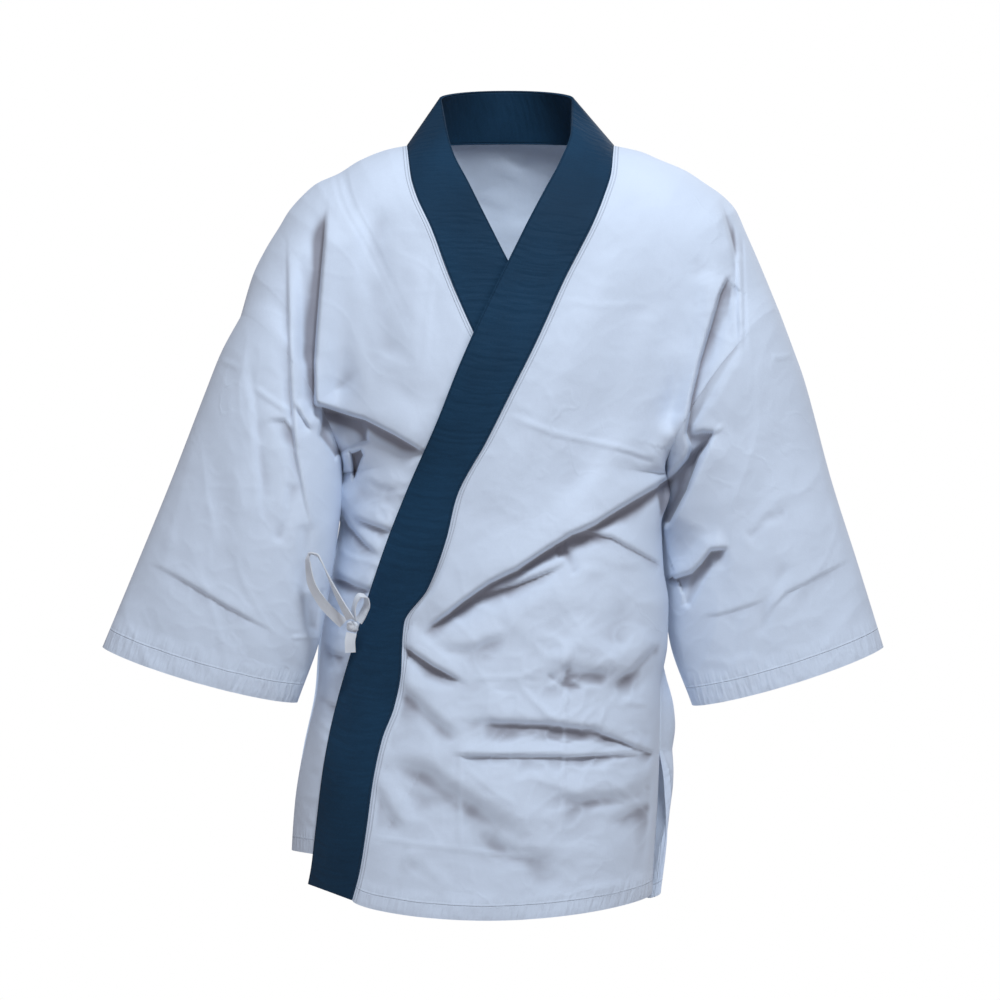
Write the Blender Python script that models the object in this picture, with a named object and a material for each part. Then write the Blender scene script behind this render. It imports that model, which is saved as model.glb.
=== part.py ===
"""Happi coat: a wrapped jacket with a doubled neck band, filled out as worn.

Metres, +Z up, the wearer faces -Y.  Origin: where it hangs on the shoulders,
midway between the two neck points.  The panels are the pieces a maker cuts:
back, two fronts, two sleeves, one neck band, and the tie.
"""
import bpy
import bmesh
import numpy as np

for ob in list(bpy.data.objects):
    bpy.data.objects.remove(ob, do_unlink=True)

# ----------------------------------------------------------------- form (mm)
# Outline tables are pairs (across, up) in millimetres, stated on the upright
# plane through the shoulders.  What stands in front of that plane is drawn in
# towards SIGHT by its depth, so that one table serves every layer.
SIGHT_X, SIGHT_Z, SIGHT_D = -10.0, -352.0, 2300.0


def table(x, xs, ys):
    """Monotone cubic through a short table."""
    xs = np.asarray(xs, float)
    ys = np.asarray(ys, float)
    if xs[0] > xs[-1]:
        xs, ys = xs[::-1], ys[::-1]
    x = np.clip(np.asarray(x, float), xs[0], xs[-1])
    h = np.diff(xs)
    d = np.diff(ys) / h
    m = np.empty(len(xs))
    m[0], m[-1] = d[0], d[-1]
    same = d[:-1] * d[1:] > 0
    m[1:-1] = np.where(same, 2 * d[:-1] * d[1:] / np.where(same, d[:-1] + d[1:], 1.0), 0.0)
    i = np.clip(np.searchsorted(xs, x) - 1, 0, len(h) - 1)
    t = (x - xs[i]) / h[i]
    t2, t3 = t * t, t * t * t
    return ((2 * t3 - 3 * t2 + 1) * ys[i] + (t3 - 2 * t2 + t) * h[i] * m[i]
            + (3 * t2 - 2 * t3) * ys[i + 1] + (t3 - t2) * h[i] * m[i + 1])


def along(points, t):
    """Smooth path through points; t is the fraction of its length."""
    p = np.asarray(points, float)
    s = np.r_[0, np.cumsum(np.linalg.norm(np.diff(p, axis=0), axis=1))]
    s /= s[-1]
    return np.stack([table(t, s, p[:, k]) for k in range(p.shape[1])], -1)


def step(x, a, b):
    t = np.clip((np.asarray(x, float) - a) / (b - a), 0, 1)
    return t * t * (3 - 2 * t)


def reach(X, Z, path):
    """Distance to a polyline, the side of it (+ left of travel), and the fraction along it."""
    p = np.asarray(path, float)
    seg = np.diff(p, axis=0)
    ln = np.linalg.norm(seg, axis=1)
    s0 = np.r_[0, np.cumsum(ln)]
    best = np.full(np.shape(X), 1e9)
    sign = np.ones(np.shape(X))
    frac = np.zeros(np.shape(X))
    for k in range(len(seg)):
        ax, az = X - p[k, 0], Z - p[k, 1]
        t = np.clip((ax * seg[k, 0] + az * seg[k, 1]) / (ln[k] ** 2), 0, 1)
        dx, dz = ax - t * seg[k, 0], az - t * seg[k, 1]
        d = np.hypot(dx, dz)
        c = seg[k, 0] * az - seg[k, 1] * ax
        m = d < best - 1e-9
        best = np.where(m, d, best)
        sign = np.where(m, np.sign(c), sign)
        frac = np.where(m, (s0[k] + t * ln[k]) / s0[-1], frac)
    return best, sign, frac


def place(X, Y, Z):
    k = 1.0 + np.minimum(Y, 0.0) / SIGHT_D
    return np.stack([SIGHT_X + (X - SIGHT_X) * k, Y + 0 * X, SIGHT_Z + (Z - SIGHT_Z) * k], -1) / 1000.0


# Outer outline of each half, neck point to cuff
SHOULDER_R = [(-102.0, 2.0), (-122.0, -2.0), (-150.0, -13.0), (-171.0, -26.0), (-193.0, -36.0), (-208.0, -49.0), (-221.0, -64.0),
              (-230.0, -79.0), (-243.0, -100.0), (-256.0, -126.0), (-269.0, -157.0), (-286.0, -198.0), (-304.0, -244.0), (-317.0, -276.0)]
SHOULDER_L = [(103.0, 2.0), (130.0, -4.0), (149.0, -12.0), (175.0, -23.0), (195.0, -36.0), (212.0, -48.0), (225.0, -62.0),
              (235.0, -84.0), (249.0, -116.0), (268.0, -162.0), (277.0, -181.0), (291.0, -223.0), (304.0, -271.0), (312.0, -302.0)]
TOP_R = SHOULDER_R[:10] + [(-269.0, -169.0)]      # shoulder line of the body, neck to armhole
TOP_L = SHOULDER_L[:9] + [(270.0, -167.0)]
OUTLINE = SHOULDER_R[::-1] + [(-60.0, 22.0), (0.0, 28.0), (60.0, 22.0)] + SHOULDER_L

# Trunk: level, right side, left side, front depth, back depth, side-seam depth right, left
TRUNK = [
    # z      right   left   front  back   yr    yl
    (30.0,  -170.0, 200.0,  92.0,  88.0,  0.0,  0.0),
    (-40.0, -182.0, 212.0, 108.0, 100.0,  0.0,  0.0),
    (-100.0, -186.0, 211.0, 118.0, 114.0,  0.0,  0.0),
    (-166.0, -190.0, 203.0, 125.0, 122.0,  0.0,  0.0),
    (-214.0, -191.0, 192.0, 129.0, 124.0,  0.0,  0.0),
    (-262.0, -187.0, 178.0, 130.0, 122.0,  4.0,  0.0),
    (-300.0, -174.0, 166.0, 129.0, 118.0,  8.0, -3.0),
    (-326.0, -165.6, 153.4, 128.0, 115.0, 10.0, -5.0),
    (-372.0, -170.0, 151.0, 126.0, 110.0, 14.0, -9.0),
    (-420.0, -179.0, 153.0, 126.0, 108.0, 16.0, -12.0),
    (-455.0, -186.0, 158.0, 127.0, 110.0, 17.0, -13.0),
    (-495.0, -192.0, 157.0, 130.0, 114.0, 17.0, -13.0),
    (-540.0, -195.0, 150.0, 133.0, 118.0, 15.0, -13.0),
    (-602.0, -207.0, 149.0, 136.0, 122.0, 10.0, -14.0),
    (-655.0, -215.0, 147.0, 138.0, 126.0,  6.0, -16.0),
    (-700.0, -218.0, 144.0, 140.0, 128.0,  4.0, -18.0),
    (-760.0, -220.0, 141.0, 142.0, 130.0,  2.0, -20.0),
]
TRUNK_COL = list(zip(*TRUNK))
TRUNK_ROUND = 2.3       # superellipse power of the trunk sections
ROLL = 88.0             # how far below the shoulder line the cloth has turned to face forward

# Sleeves: row per ring; outer edge, inner edge, half depth, depth of outer edge, depth of inner edge, sag of front
SLEEVE_R = [
    # outer          inner          half   yo     yi    front lift
    ((-269.0, -169.0), (-165.0, -326.0), 79.0,  0.0,  10.0,  24.0),
    ((-288.0, -204.0), (-166.0, -344.0), 77.0,  0.0,   0.0,  15.0),
    ((-304.0, -244.0), (-170.0, -372.0), 73.0, -3.0, -12.0,   8.0),
    ((-338.0, -332.0), (-178.0, -423.0), 64.0, -8.0, -26.0,   2.0),
    ((-372.0, -415.0), (-189.0, -485.0), 55.0,-13.0, -30.0,  -4.0),
    ((-407.0, -499.0), (-213.0, -554.0), 47.0,-18.0, -30.0,  -9.0),
]
SLEEVE_L = [
    ((270.0, -167.0), (153.0, -326.0), 79.0,  0.0,  -5.0,  24.0),
    ((283.0, -202.0), (152.0, -344.0), 77.0,  0.0,   4.0,  15.0),
    ((293.0, -230.0), (151.0, -372.0), 73.0,  0.0,  12.0,   8.0),
    ((321.0, -333.0), (154.0, -432.0), 64.0, -3.0,  20.0,   2.0),
    ((347.0, -415.0), (161.0, -492.0), 55.0, -6.0,  16.0,  -4.0),
    ((373.0, -499.0), (183.0, -557.0), 47.0,-10.0,   6.0,  -9.0),
]


def sleeve(rows, s, phi):
    """Point of a sleeve: s 0..1 armhole to cuff, phi 0 outer edge, pi inner edge, front half first."""
    n = len(rows)
    mid = np.array([[(r[0][0] + r[1][0]) / 2, (r[0][1] + r[1][1]) / 2] for r in rows])
    ln = np.r_[0, np.cumsum(np.linalg.norm(np.diff(mid, axis=0), axis=1))]
    ln /= ln[-1]
    col = lambda v: table(s, ln, v)
    ox, oz = col([r[0][0] for r in rows]), col([r[0][1] for r in rows])
    ix, iz = col([r[1][0] for r in rows]), col([r[1][1] for r in rows])
    b, yo, yi, lift = [col([r[k] for r in rows]) for k in (2, 3, 4, 5)]
    ax, az = mid[-1] - mid[0]
    al = np.hypot(ax, az)
    c, sn = np.cos(phi), np.sin(phi)
    up = np.where(sn > 0, lift, -0.35 * np.abs(lift)) * np.abs(sn) ** 1.3
    X = (ox + ix) / 2 + (ox - ix) / 2 * c - ax / al * up
    Z = (oz + iz) / 2 + (oz - iz) / 2 * c - az / al * up
    Y = (yo + yi) / 2 + (yo - yi) / 2 * c - b * np.sign(sn) * np.abs(sn) ** 0.92
    return X, Y, Z


def trunk_y(X, Z, side):
    """Depth of the body form: side -1 front, +1 back."""
    z, xr, xl, df, db, yr, yl = TRUNK_COL
    a, b = table(Z, z, xr), table(Z, z, xl)
    xi = np.clip((X - (a + b) / 2) / ((b - a) / 2), -1, 1)
    d = table(Z, z, df if side < 0 else db)
    t, sign, _ = reach(X, Z, OUTLINE)
    inside = np.where(sign < 0, t, 0.0)
    roll = lambda r: np.sqrt(np.clip(1 - (1 - np.clip(inside / r, 0, 1)) ** 2, 0, 1))
    D = d * (1 - np.abs(xi) ** TRUNK_ROUND) ** (1 / TRUNK_ROUND) * roll(ROLL)
    for rows in (SLEEVE_R, SLEEVE_L):
        o0, i0, o1, i1 = [np.array(q) for q in (rows[0][0], rows[0][1], rows[-1][0], rows[-1][1])]
        c0, c1 = (o0 + i0) / 2, (o1 + i1) / 2
        ax = (c1 - c0) / np.linalg.norm(c1 - c0)
        nx = np.array([ax[1], -ax[0]]) * (1 if rows is SLEEVE_R else -1)
        q = (X - c0[0]) * nx[0] + (Z - c0[1]) * nx[1]
        h = abs(np.dot(o0 - c0, nx)) + 3.0
        arm = rows[0][2] * np.sqrt(np.clip(1 - (np.minimum(q, 0) / h) ** 2, 0, 1)) * roll(66.0)
        arm = arm * (q < 1.6 * h)
        arm = arm * step(Z, -318, -268)
        k = 16.0
        D = 0.5 * (D + arm + np.sqrt((D - arm) ** 2 + k * k)) - 0.5 * np.sqrt(k * k)
    D = np.maximum(D, 0)
    yc = table(Z, z, yr) + (table(Z, z, yl) - table(Z, z, yr)) * (xi + 1) / 2
    return yc + side * D


# Seam lines.  Front edges: where each front meets the band; free edges: the band's other side.
EDGE_OUTER = [(103.0, 2.0), (101.0, -24.0), (94.0, -48.0), (84.0, -73.0), (70.0, -101.0), (56.0, -128.0), (27.0, -192.0), (2.0, -242.0),
              (-23.0, -292.0), (-53.0, -348.0), (-64.0, -392.0), (-82.0, -440.0), (-106.0, -475.0), (-108.0, -496.0), (-109.0, -523.0), (-116.0, -559.0),
              (-128.0, -591.0), (-137.0, -632.0), (-144.0, -683.0), (-151.0, -726.0), (-158.0, -752.0)]
FREE_OUTER = [(62.0, 50.0), (61.0, 18.0), (50.0, -13.0), (35.0, -41.0), (19.0, -71.0), (4.0, -101.0), (-25.0, -160.0), (-51.0, -218.0),
              (-73.0, -274.0), (-102.0, -341.0), (-122.0, -392.0), (-139.0, -442.0), (-152.0, -484.0), (-158.0, -504.0), (-163.0, -521.0), (-172.0, -553.0),
              (-180.0, -587.0), (-187.0, -627.0), (-193.0, -677.0), (-198.0, -720.0), (-201.0, -736.0)]
EDGE_UNDER = [(-102.0, 2.0), (-99.0, -27.0), (-94.0, -46.0), (-78.0, -82.0), (-59.0, -132.0), (-37.0, -183.0), (-10.0, -237.0), (9.0, -282.0),
              (35.0, -352.0), (50.0, -412.0), (62.0, -472.0), (71.0, -532.0), (76.0, -612.0), (78.0, -692.0), (80.0, -736.0)]
FREE_UNDER = [(-69.0, 50.0), (-64.0, 22.0), (-58.0, -1.0), (-41.0, -35.0), (-23.0, -71.0), (-2.0, -113.0), (26.0, -172.0), (48.0, -230.0),
              (78.0, -314.0), (96.0, -387.0), (110.0, -457.0), (120.0, -526.0), (124.0, -608.0), (125.0, -688.0), (126.0, -734.0)]
UNDERARM = 0.42         # fraction of a body panel's side edge taken by the armhole


def side_edge(rows, v, half, back=False):
    """Side edge of a body panel: armhole (half ring), then side seam to the hem."""
    z, xr, xl, df, db, yr, yl = TRUNK_COL
    right = rows is SLEEVE_R
    phi = np.pi * np.clip(v / UNDERARM, 0, 1)
    X, Y, Z = sleeve(rows, 0.0 * v, phi if not back else -phi)
    f = np.clip((v - UNDERARM) / (1 - UNDERARM), 0, 1)
    z0 = rows[0][1][1]
    hem = HEM_RIGHT if right else HEM_LEFT
    Zs = z0 + (hem - z0) * f
    Xs = table(Zs, z, xr if right else xl)
    Ys = table(Zs, z, yr if right else yl)
    x_top = rows[0][1][0]
    Xs = Xs + (x_top - table(z0, z, xr if right else xl)) * (1 - step(f, 0, 0.06))
    if back and not right:
        # the left slit: the back's edge stands out beyond the front's
        Xs = Xs + table(Zs, SLIT_LEVEL, SLIT_OUT)
        Ys = Ys + table(Zs, SLIT_LEVEL, SLIT_BEHIND)
    low = v > UNDERARM
    return np.where(low, Xs, X), np.where(low, Ys, Y), np.where(low, Zs, Z)


SLIT_LEVEL = [-745.0, -690.0, -655.0, -625.0, -602.0]
SLIT_OUT = [9.0, 12.5, 9.0, 5.0, 0.0]
SLIT_BEHIND = [8.0, 8.0, 6.0, 4.0, 0.0]
# How far the back swells beyond the left side seam, by level
SWELL_LEVEL = [-745.0, -690.0, -669.0, -630.0, -602.0, -580.0, -560.0, -545.0, -528.0, -510.0, -495.0, -480.0]
SWELL_OUT = [3.0, 10.0, 14.5, 23.0, 27.5, 30.0, 28.0, 24.0, 17.0, 7.0, 2.0, 0.0]


HEM_RIGHT, HEM_LEFT = -702.0, -745.0     # hem level at the side seams


def body_panel(kind, u, v):
    """Mid surface of a body panel on grids u (0 front edge or right side .. 1 side) and v (0 shoulder .. 1 hem)."""
    U, V = u, v
    if kind == "back":
        ax, ay, az = side_edge(SLEEVE_R, V, -1, True)
        bx, by, bz = side_edge(SLEEVE_L, V, 1, True)
        pr = along(TOP_R[::-1], np.clip(U / 0.32, 0, 1))
        pl = along(TOP_L, np.clip((U - 0.68) / 0.32, 0, 1))
        n = np.clip((U - 0.32) / 0.36, 0, 1)
        nx = (-102.0, 7.0)[0] + ((103.0, 2.0)[0] - (-102.0, 7.0)[0]) * n
        nz = 2.0 + 12.0 * np.sin(np.pi * n) ** 0.8
        tx = np.where(U < 0.32, pr[..., 0], np.where(U > 0.68, pl[..., 0], nx))
        tz = np.where(U < 0.32, pr[..., 1], np.where(U > 0.68, pl[..., 1], nz))
        ty = np.where((U >= 0.32) & (U <= 0.68), NECK_BACK * np.sin(np.pi * n) ** 0.75, 0.0)
        side = 1
    else:
        outer = kind == "outer"
        edge = EDGE_OUTER if outer else EDGE_UNDER
        rows = SLEEVE_L if outer else SLEEVE_R
        fx, fz = front_edge(edge, V)
        ax, az = fx, fz
        ay = 0 * ax
        bx, by, bz = side_edge(rows, V, 1)
        top = TOP_L if outer else TOP_R
        tp = along([edge[0]] + top[1:], U)
        tx, tz = tp[..., 0], tp[..., 1]
        ty = 0 * tx
        side = -1
    b = (1 - V) ** 2.2
    # corner values along the top and bottom rows
    c0x, c0z = ax[0:1, 0:1], az[0:1, 0:1]
    c1x, c1z = bx[0:1, -1:], bz[0:1, -1:]
    X = (1 - U) * ax + U * bx + b * (tx - (1 - U) * c0x - U * c1x)
    Z = (1 - U) * az + U * bz + b * (tz - (1 - U) * c0z - U * c1z)
    Z = Z - HEM_SAG[kind] * np.abs(np.sin(np.pi * U)) ** 0.6 * V ** 5
    # rows leave the underarm corner slanting down, between the armhole and the side seam
    for e in ((U, 1 - U) if kind == "back" else ()):
        Z = Z - 17.0 * np.exp(-((V - UNDERARM) / 0.05) ** 2) * (e / 0.05) * np.exp(1 - e / 0.05)
    form = X
    if kind == "back":
        e = 1 - U
        X = X + table(Z, SWELL_LEVEL, SWELL_OUT) * (e / SWELL_AT * np.exp(1 - e / SWELL_AT)) ** 2 * (V > UNDERARM)
    else:
        # below the underarm the front rolls out against the sleeve
        e = 1 - U
        X = X + (1 if outer else -1) * UNDERARM_ROLL * np.exp(-((Z + 345.0) / 22.0) ** 2) * (e / 0.06 * np.exp(1 - e / 0.06)) ** 2
    least = 56.0 * np.sin(np.pi * np.clip(V / UNDERARM, 0, 0.5)) ** 0.92 * (1 - step(V, 0.09, 0.2))
    Y = trunk_y(form, Z, side)
    Y = side * np.maximum(side * Y, least)
    # meet the side edge, and the given top line, exactly
    if kind == "back":
        ea = ay - Y[:, :1]
        eb = by - Y[:, -1:]
        wa, wb = np.exp(-(U / 0.085) ** 1.6), np.exp(-((1 - U) / 0.085) ** 1.6)
        Y = Y + ea * wa + eb * wb
    else:
        eb = by - Y[:, -1:]
        Y = Y + eb * np.exp(-((1 - U) / 0.11) ** 1.6)
    et = ty - Y[:1, :]
    Y = Y + et * np.exp(-(V / 0.10) ** 1.4)
    return X, Y, Z


NECK_BACK = 66.0
SWELL_AT = 0.045          # where across the back the swelling is greatest, from the side seam
UNDERARM_ROLL = 7.0
HEM_SAG = {"outer": 24.0, "under": 4.0, "back": 24.0}     # how far a hem hangs below its two corners


def front_edge(edge, V):
    """Front edge at panel fraction V: level falls steadily to the hem."""
    e = np.asarray(edge, float)
    z0, z1 = e[0, 1], e[-1, 1]
    zz = z0 + (z1 - z0) * np.interp(V, [0, UNDERARM, 1], [0, 0.43, 1])
    return table(zz, e[::-1, 1], e[::-1, 0]), zz


UNDER_GAP = 11.0


def under_drop(X, Z):
    """How far the under layer is pressed in where the outer front lies on it."""
    t, sign, _ = reach(X, Z, FREE_OUTER)
    d = np.where(sign > 0, t, -t)      # + on the outer panel's side
    return UNDER_GAP * step(d, -26.0, 4.0)


def fold_lift(X, Z, folds):
    """Height of the folds at (X, Z): each a path, its height, lit width, shadow width and drop."""
    H = np.zeros(np.shape(X))
    for path, height, lit, shade, drop in folds:
        t, sign, f = reach(X, Z, path)
        ends = step(f, 0.0, 0.18) * (1 - step(f, 0.82, 1.0))
        d = t * sign
        hi = height * np.exp(-(np.maximum(d, 0) / lit) ** 2)
        m = np.maximum(-d, 0)
        lo = height * (1 - step(m, 0, shade)) - drop * step(m, 0, shade) * np.exp(-(m / (3.2 * shade)) ** 2)
        H = H + np.where(d >= 0, hi, lo) * ends
    return H


def band_rows(across, v, n):
    """Band mid surface, one row per v of the under front, per n of the back neck, per v of the outer front;
    across 0 is the seam, 1 the free edge."""
    rows = []
    for edge, free, lay in ((EDGE_UNDER, FREE_UNDER, "under"), (EDGE_OUTER, FREE_OUTER, "outer")):
        e, f = np.asarray(edge, float), np.asarray(free, float)
        ex, ez = front_edge(edge, v)
        gx, gz = table(ez, e[:, 1], f[:, 0]), table(ez, e[:, 1], f[:, 1])
        a = np.asarray(across, float)[None, :]
        X = ex[:, None] * (1 - a) + gx[:, None] * a
        Z = ez[:, None] * (1 - a) + gz[:, None] * a
        flat = trunk_y(X, Z, -1)
        # at the neck the strip stands up from its seam instead of lying on the chest
        stand = trunk_y(ex, ez, -1)[:, None] * (1 - a) + table(Z[:, -1:], [70.0, 50.0, 18.0, -13.0, -41.0, -75.0, -140.0], [6.0, 0.0, -38.0, -66.0, -84.0, -98.0, -112.0]) * a
        k = step(ez, -140.0, -16.0)[:, None]
        Y = flat * (1 - k) + stand * k
        top = np.exp(-(v / 0.10) ** 1.4)[:, None] * (0.0 - trunk_y(ex[:1], ez[:1], -1))
        Y = Y + top * (1 - a)
        Y = Y + (under_drop(X, Z) if lay == "under" else -1.2 * step(v, 0.0, 0.05)[:, None])
        rows.append(np.stack([X, Y, Z], -1))
    under, outer = rows[0][::-1], rows[1]
    n = np.asarray(n, float)
    s = np.sin(np.pi * n)
    E = np.stack([-102.0 + 205.0 * n, NECK_BACK * s ** 0.75, 2 + 12 * s ** 0.8], -1)
    g0, g1 = under[-1, -1], outer[0, -1]
    G = np.stack([g0[0] + (g1[0] - g0[0]) * n, g0[1] + 50 * s ** 0.9, g0[2] + 16 * s ** 0.7], -1)
    a = np.asarray(across, float)[None, :, None]
    back = E[:, None] * (1 - a) + G[:, None] * a
    P = np.concatenate([under, back, outer], 0)
    return P[..., 0], P[..., 1], P[..., 2]


def grid_normals(P, wrap=False):
    if wrap:
        Q = np.concatenate([P[:, -1:], P, P[:, :1]], 1)
        du = (Q[:, 2:] - Q[:, :-2])
    else:
        du = np.gradient(P, axis=1)
    dv = np.gradient(P, axis=0)
    n = np.cross(du, dv)
    return n / np.maximum(np.linalg.norm(n, axis=-1, keepdims=True), 1e-12)


def trim(P, gaps):
    """Pull the four edges of a grid (row 0, last row, col 0, last col) back by these metres."""
    P = P.copy()
    for axis, first, last in ((0, gaps[0], gaps[1]), (1, gaps[2], gaps[3])):
        Q = np.moveaxis(P, axis, 0)
        if first:
            d = Q[1] - Q[0]
            Q[0] += d * (first / np.maximum(np.linalg.norm(d, axis=-1, keepdims=True), first * 1.5))
        if last:
            d = Q[-2] - Q[-1]
            Q[-1] += d * (last / np.maximum(np.linalg.norm(d, axis=-1, keepdims=True), last * 1.5))
    return P


def shell(P, thick, wrap=False, square=()):
    """Closed thin solid around a grid of points; square lists edges whose end face stands in the seam plane."""
    n = grid_normals(P, wrap)
    if "top" in square:
        n[0, :, 1] = 0.0
    for name, col in (("first", 0), ("last", -1)):
        if name in square:
            low = P[:, col, 2] < -0.318
            n[low, col, 1] = 0.0
    n = n / np.linalg.norm(n, axis=-1, keepdims=True) * (thick / 2)
    r, c = P.shape[:2]
    V = np.concatenate([(P + n).reshape(-1, 3), (P - n).reshape(-1, 3)])
    o = r * c
    F = []
    cols = c if wrap else c - 1
    for i in range(r - 1):
        for j in range(cols):
            a, b = i * c + j, i * c + (j + 1) % c
            d, e = (i + 1) * c + j, (i + 1) * c + (j + 1) % c
            F.append((a, b, e, d))
            F.append((o + a, o + d, o + e, o + b))
    for j in range(cols):
        a, b = j, (j + 1) % c
        F.append((b, a, o + a, o + b))
        a, b = (r - 1) * c + j, (r - 1) * c + (j + 1) % c
        F.append((a, b, o + b, o + a))
    if not wrap:
        for i in range(r - 1):
            a, d = i * c, (i + 1) * c
            F.append((a, d, o + d, o + a))
            a, d = i * c + c - 1, (i + 1) * c + c - 1
            F.append((d, a, o + a, o + d))
    return V, F


def tape(points, width, thick, faces=None, steps=24):
    """Flat tape along a 3-D path (metres); faces gives a width direction per path point."""
    t = np.linspace(0, 1, steps)
    C = along(points, t)
    W = along(faces, np.linspace(0, 1, steps))
    T = np.gradient(C, axis=0)
    T /= np.linalg.norm(T, axis=1, keepdims=True)
    W = W - T * (W * T).sum(1, keepdims=True)
    W /= np.linalg.norm(W, axis=1, keepdims=True)
    return np.stack([C - W * width / 2, C, C + W * width / 2], 1)


# Tie: a bow of flat tape at the wearer's right, beside the band.  Rows: across, depth, up (mm)
KNOT = (-157.5, -88.0, -478.5)
KNOT_HALF = (6.0, 4.6, 5.4)
LOOP_LONG = [(-159.5, -95.5, -471.0), (-166.5, -98.5, -459.0), (-178.5, -103.0, -435.0), (-188.5, -106.5, -413.5),
             (-193.0, -106.0, -407.0), (-198.5, -103.0, -406.0), (-202.0, -100.0, -412.0),
             (-199.5, -96.5, -432.0), (-189.0, -92.5, -452.5), (-174.5, -88.0, -468.5), (-166.5, -86.0, -475.5)]
LOOP_LONG_FACE = [(0.70, -0.65, 0.20), (0.50, -0.85, 0.15), (0.30, -0.95, 0.10), (0.12, -1.0, 0.05), (0.08, -1.0, 0.08),
                  (0.40, -0.85, 0.20), (0.70, -0.55, 0.30), (0.80, -0.30, 0.40), (0.70, -0.15, 0.60)]
LOOP_SHORT = [(-156.0, -93.5, -472.0), (-156.5, -97.0, -463.0), (-154.5, -100.0, -453.5), (-149.5, -101.5, -447.5),
              (-144.5, -100.5, -448.0), (-143.0, -97.0, -455.0), (-147.0, -93.0, -466.0), (-151.5, -90.5, -473.5)]
LOOP_SHORT_FACE = [(0.55, -0.80, 0.0), (0.50, -0.85, 0.0), (0.40, -0.90, -0.20), (0.60, -0.70, -0.40), (0.75, -0.60, -0.30), (0.85, -0.40, -0.40)]
TAIL = [(-158.5, -93.0, -485.0), (-160.0, -92.5, -494.0), (-159.5, -90.5, -504.5)]
TAIL_FACE = [(1.0, -0.15, 0.1), (1.0, 0.1, 0.05)]
LONG_WIDTH, SHORT_WIDTH, TAIL_WIDTH = 0.0105, 0.0085, 0.0100


# ------------------------------------------------------------------- solids
PANEL_WALL = 0.0012      # shirting, turned in at its hems
BAND_WALL = 0.0026       # doubled and stiffened band
SEAM_GAP = 0.00035
LAYER = 0.0006

MAIN_FOLDS_OUTER = [
    # path, height, lit width, shadow width, drop
    ([(158.0, -328.0), (115.0, -357.0), (65.0, -384.0), (15.0, -414.0), (-27.0, -438.0), (-80.0, -480.0)][::-1], 9.0, 46.0, 30.0, 3.0),
    ([(-48.0, -620.0), (10.0, -642.0), (50.0, -658.0)], 4.0, 34.0, 26.0, 3.0),
    ([(-40.0, -572.0), (40.0, -576.0), (130.0, -574.0)], 4.0, 28.0, 24.0, 3.0),
]
MAIN_FOLDS_UNDER = [
    ([(-194.0, -250.0), (-170.0, -260.0), (-144.0, -272.0), (-115.0, -284.0), (-82.0, -296.0)], 12.0, 42.0, 24.0, 6.0),
]
MAIN_FOLDS_BACK = [
    ([(-210.0, -102.0), (-180.0, -272.0), (-158.0, -322.0)], 5.0, 30.0, 24.0, 4.0),
    ([(180.0, -322.0), (202.0, -252.0), (225.0, -112.0)], 5.0, 30.0, 24.0, 4.0),
    ([(-170.0, -412.0), (-80.0, -452.0), (30.0, -448.0), (130.0, -412.0)], 6.0, 40.0, 26.0, 4.0),
    ([(-170.0, -552.0), (-40.0, -580.0), (140.0, -542.0)], 5.0, 34.0, 22.0, 4.0),
]


NA, NB, NU, NN = 17, 13, 12, 5     # panel rows above and below the underarm, columns of a front, of the back neck


def spread(n, power):
    return np.linspace(0, 1, n) ** power


ROWS = np.r_[UNDERARM * spread(NA, 1.3), UNDERARM + (1 - UNDERARM) * np.linspace(0, 1, NB)[1:]]
COLS = 1 - (1 - np.linspace(0, 1, NU)) ** 1.45
NECK = np.linspace(0, 1, NN + 2)[1:-1]


def panel_points(kind):
    u = COLS
    if kind == "back":
        right = 0.32 * (1 - COLS[::-1])
        u = np.r_[right, 0.32 + 0.36 * NECK, 1 - right[::-1]]
    U, V = np.meshgrid(u, ROWS)
    X, Y, Z = body_panel(kind, U, V)
    if kind == "under":
        Y = Y + under_drop(X, Z) * (1 - step(U, 0.86, 1.0)) * step(V, 0, 0.06)
        Y = Y - fold_lift(X, Z, MAIN_FOLDS_UNDER) * (1 - step(U, 0.90, 1.0))
    if kind == "outer":
        Y = Y - fold_lift(X, Z, MAIN_FOLDS_OUTER) * (1 - step(U, 0.92, 1.0)) * step(U, 0, 0.10)
    if kind == "back":
        edge = np.minimum(U, 1 - U)
        Y = Y + fold_lift(X, Z, MAIN_FOLDS_BACK) * step(edge, 0, 0.08) * step(V, 0, 0.08)
    return place(X, Y, Z)


def sleeve_points(rows, ns):
    s = np.linspace(0, 1, ns)
    half = np.pi * spread(NA, 1.3)
    phi = np.r_[half, 2 * np.pi - half[-2:0:-1]]
    P, S = np.meshgrid(phi, s)
    X, Y, Z = sleeve(rows, S, P)
    # the underarm turns down away from the side seam
    away = -1.0 if rows is SLEEVE_R else 1.0
    k = np.exp(-((P - np.pi) / 0.55) ** 2) * np.exp(-(S / 0.16))
    X = X + away * 4.5 * k
    Z = Z - 1.5 * k
    return place(X, Y, Z)


def add(name, V, F, slot, smooth=True, colour=(0.8, 0.8, 0.8)):
    me = bpy.data.meshes.new(name)
    me.from_pydata([tuple(float(a) for a in q) for q in V], [], [tuple(f) for f in F])
    me.update()
    bm = bmesh.new()
    bm.from_mesh(me)
    bmesh.ops.triangulate(bm, faces=bm.faces[:])
    bmesh.ops.recalc_face_normals(bm, faces=bm.faces[:])
    if bm.calc_volume(signed=True) < 0:
        bmesh.ops.reverse_faces(bm, faces=bm.faces[:])
    bm.to_mesh(me)
    bm.free()
    me.shade_smooth()
    ob = bpy.data.objects.new(name, me)
    bpy.context.scene.collection.objects.link(ob)
    mat = bpy.data.materials.new(slot + "_" + name)
    mat.use_nodes = True
    b = mat.node_tree.nodes["Principled BSDF"]
    b.inputs["Base Color"].default_value = (*colour, 1)
    b.inputs["Roughness"].default_value = 0.85
    me.materials.append(mat)
    return ob


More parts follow.
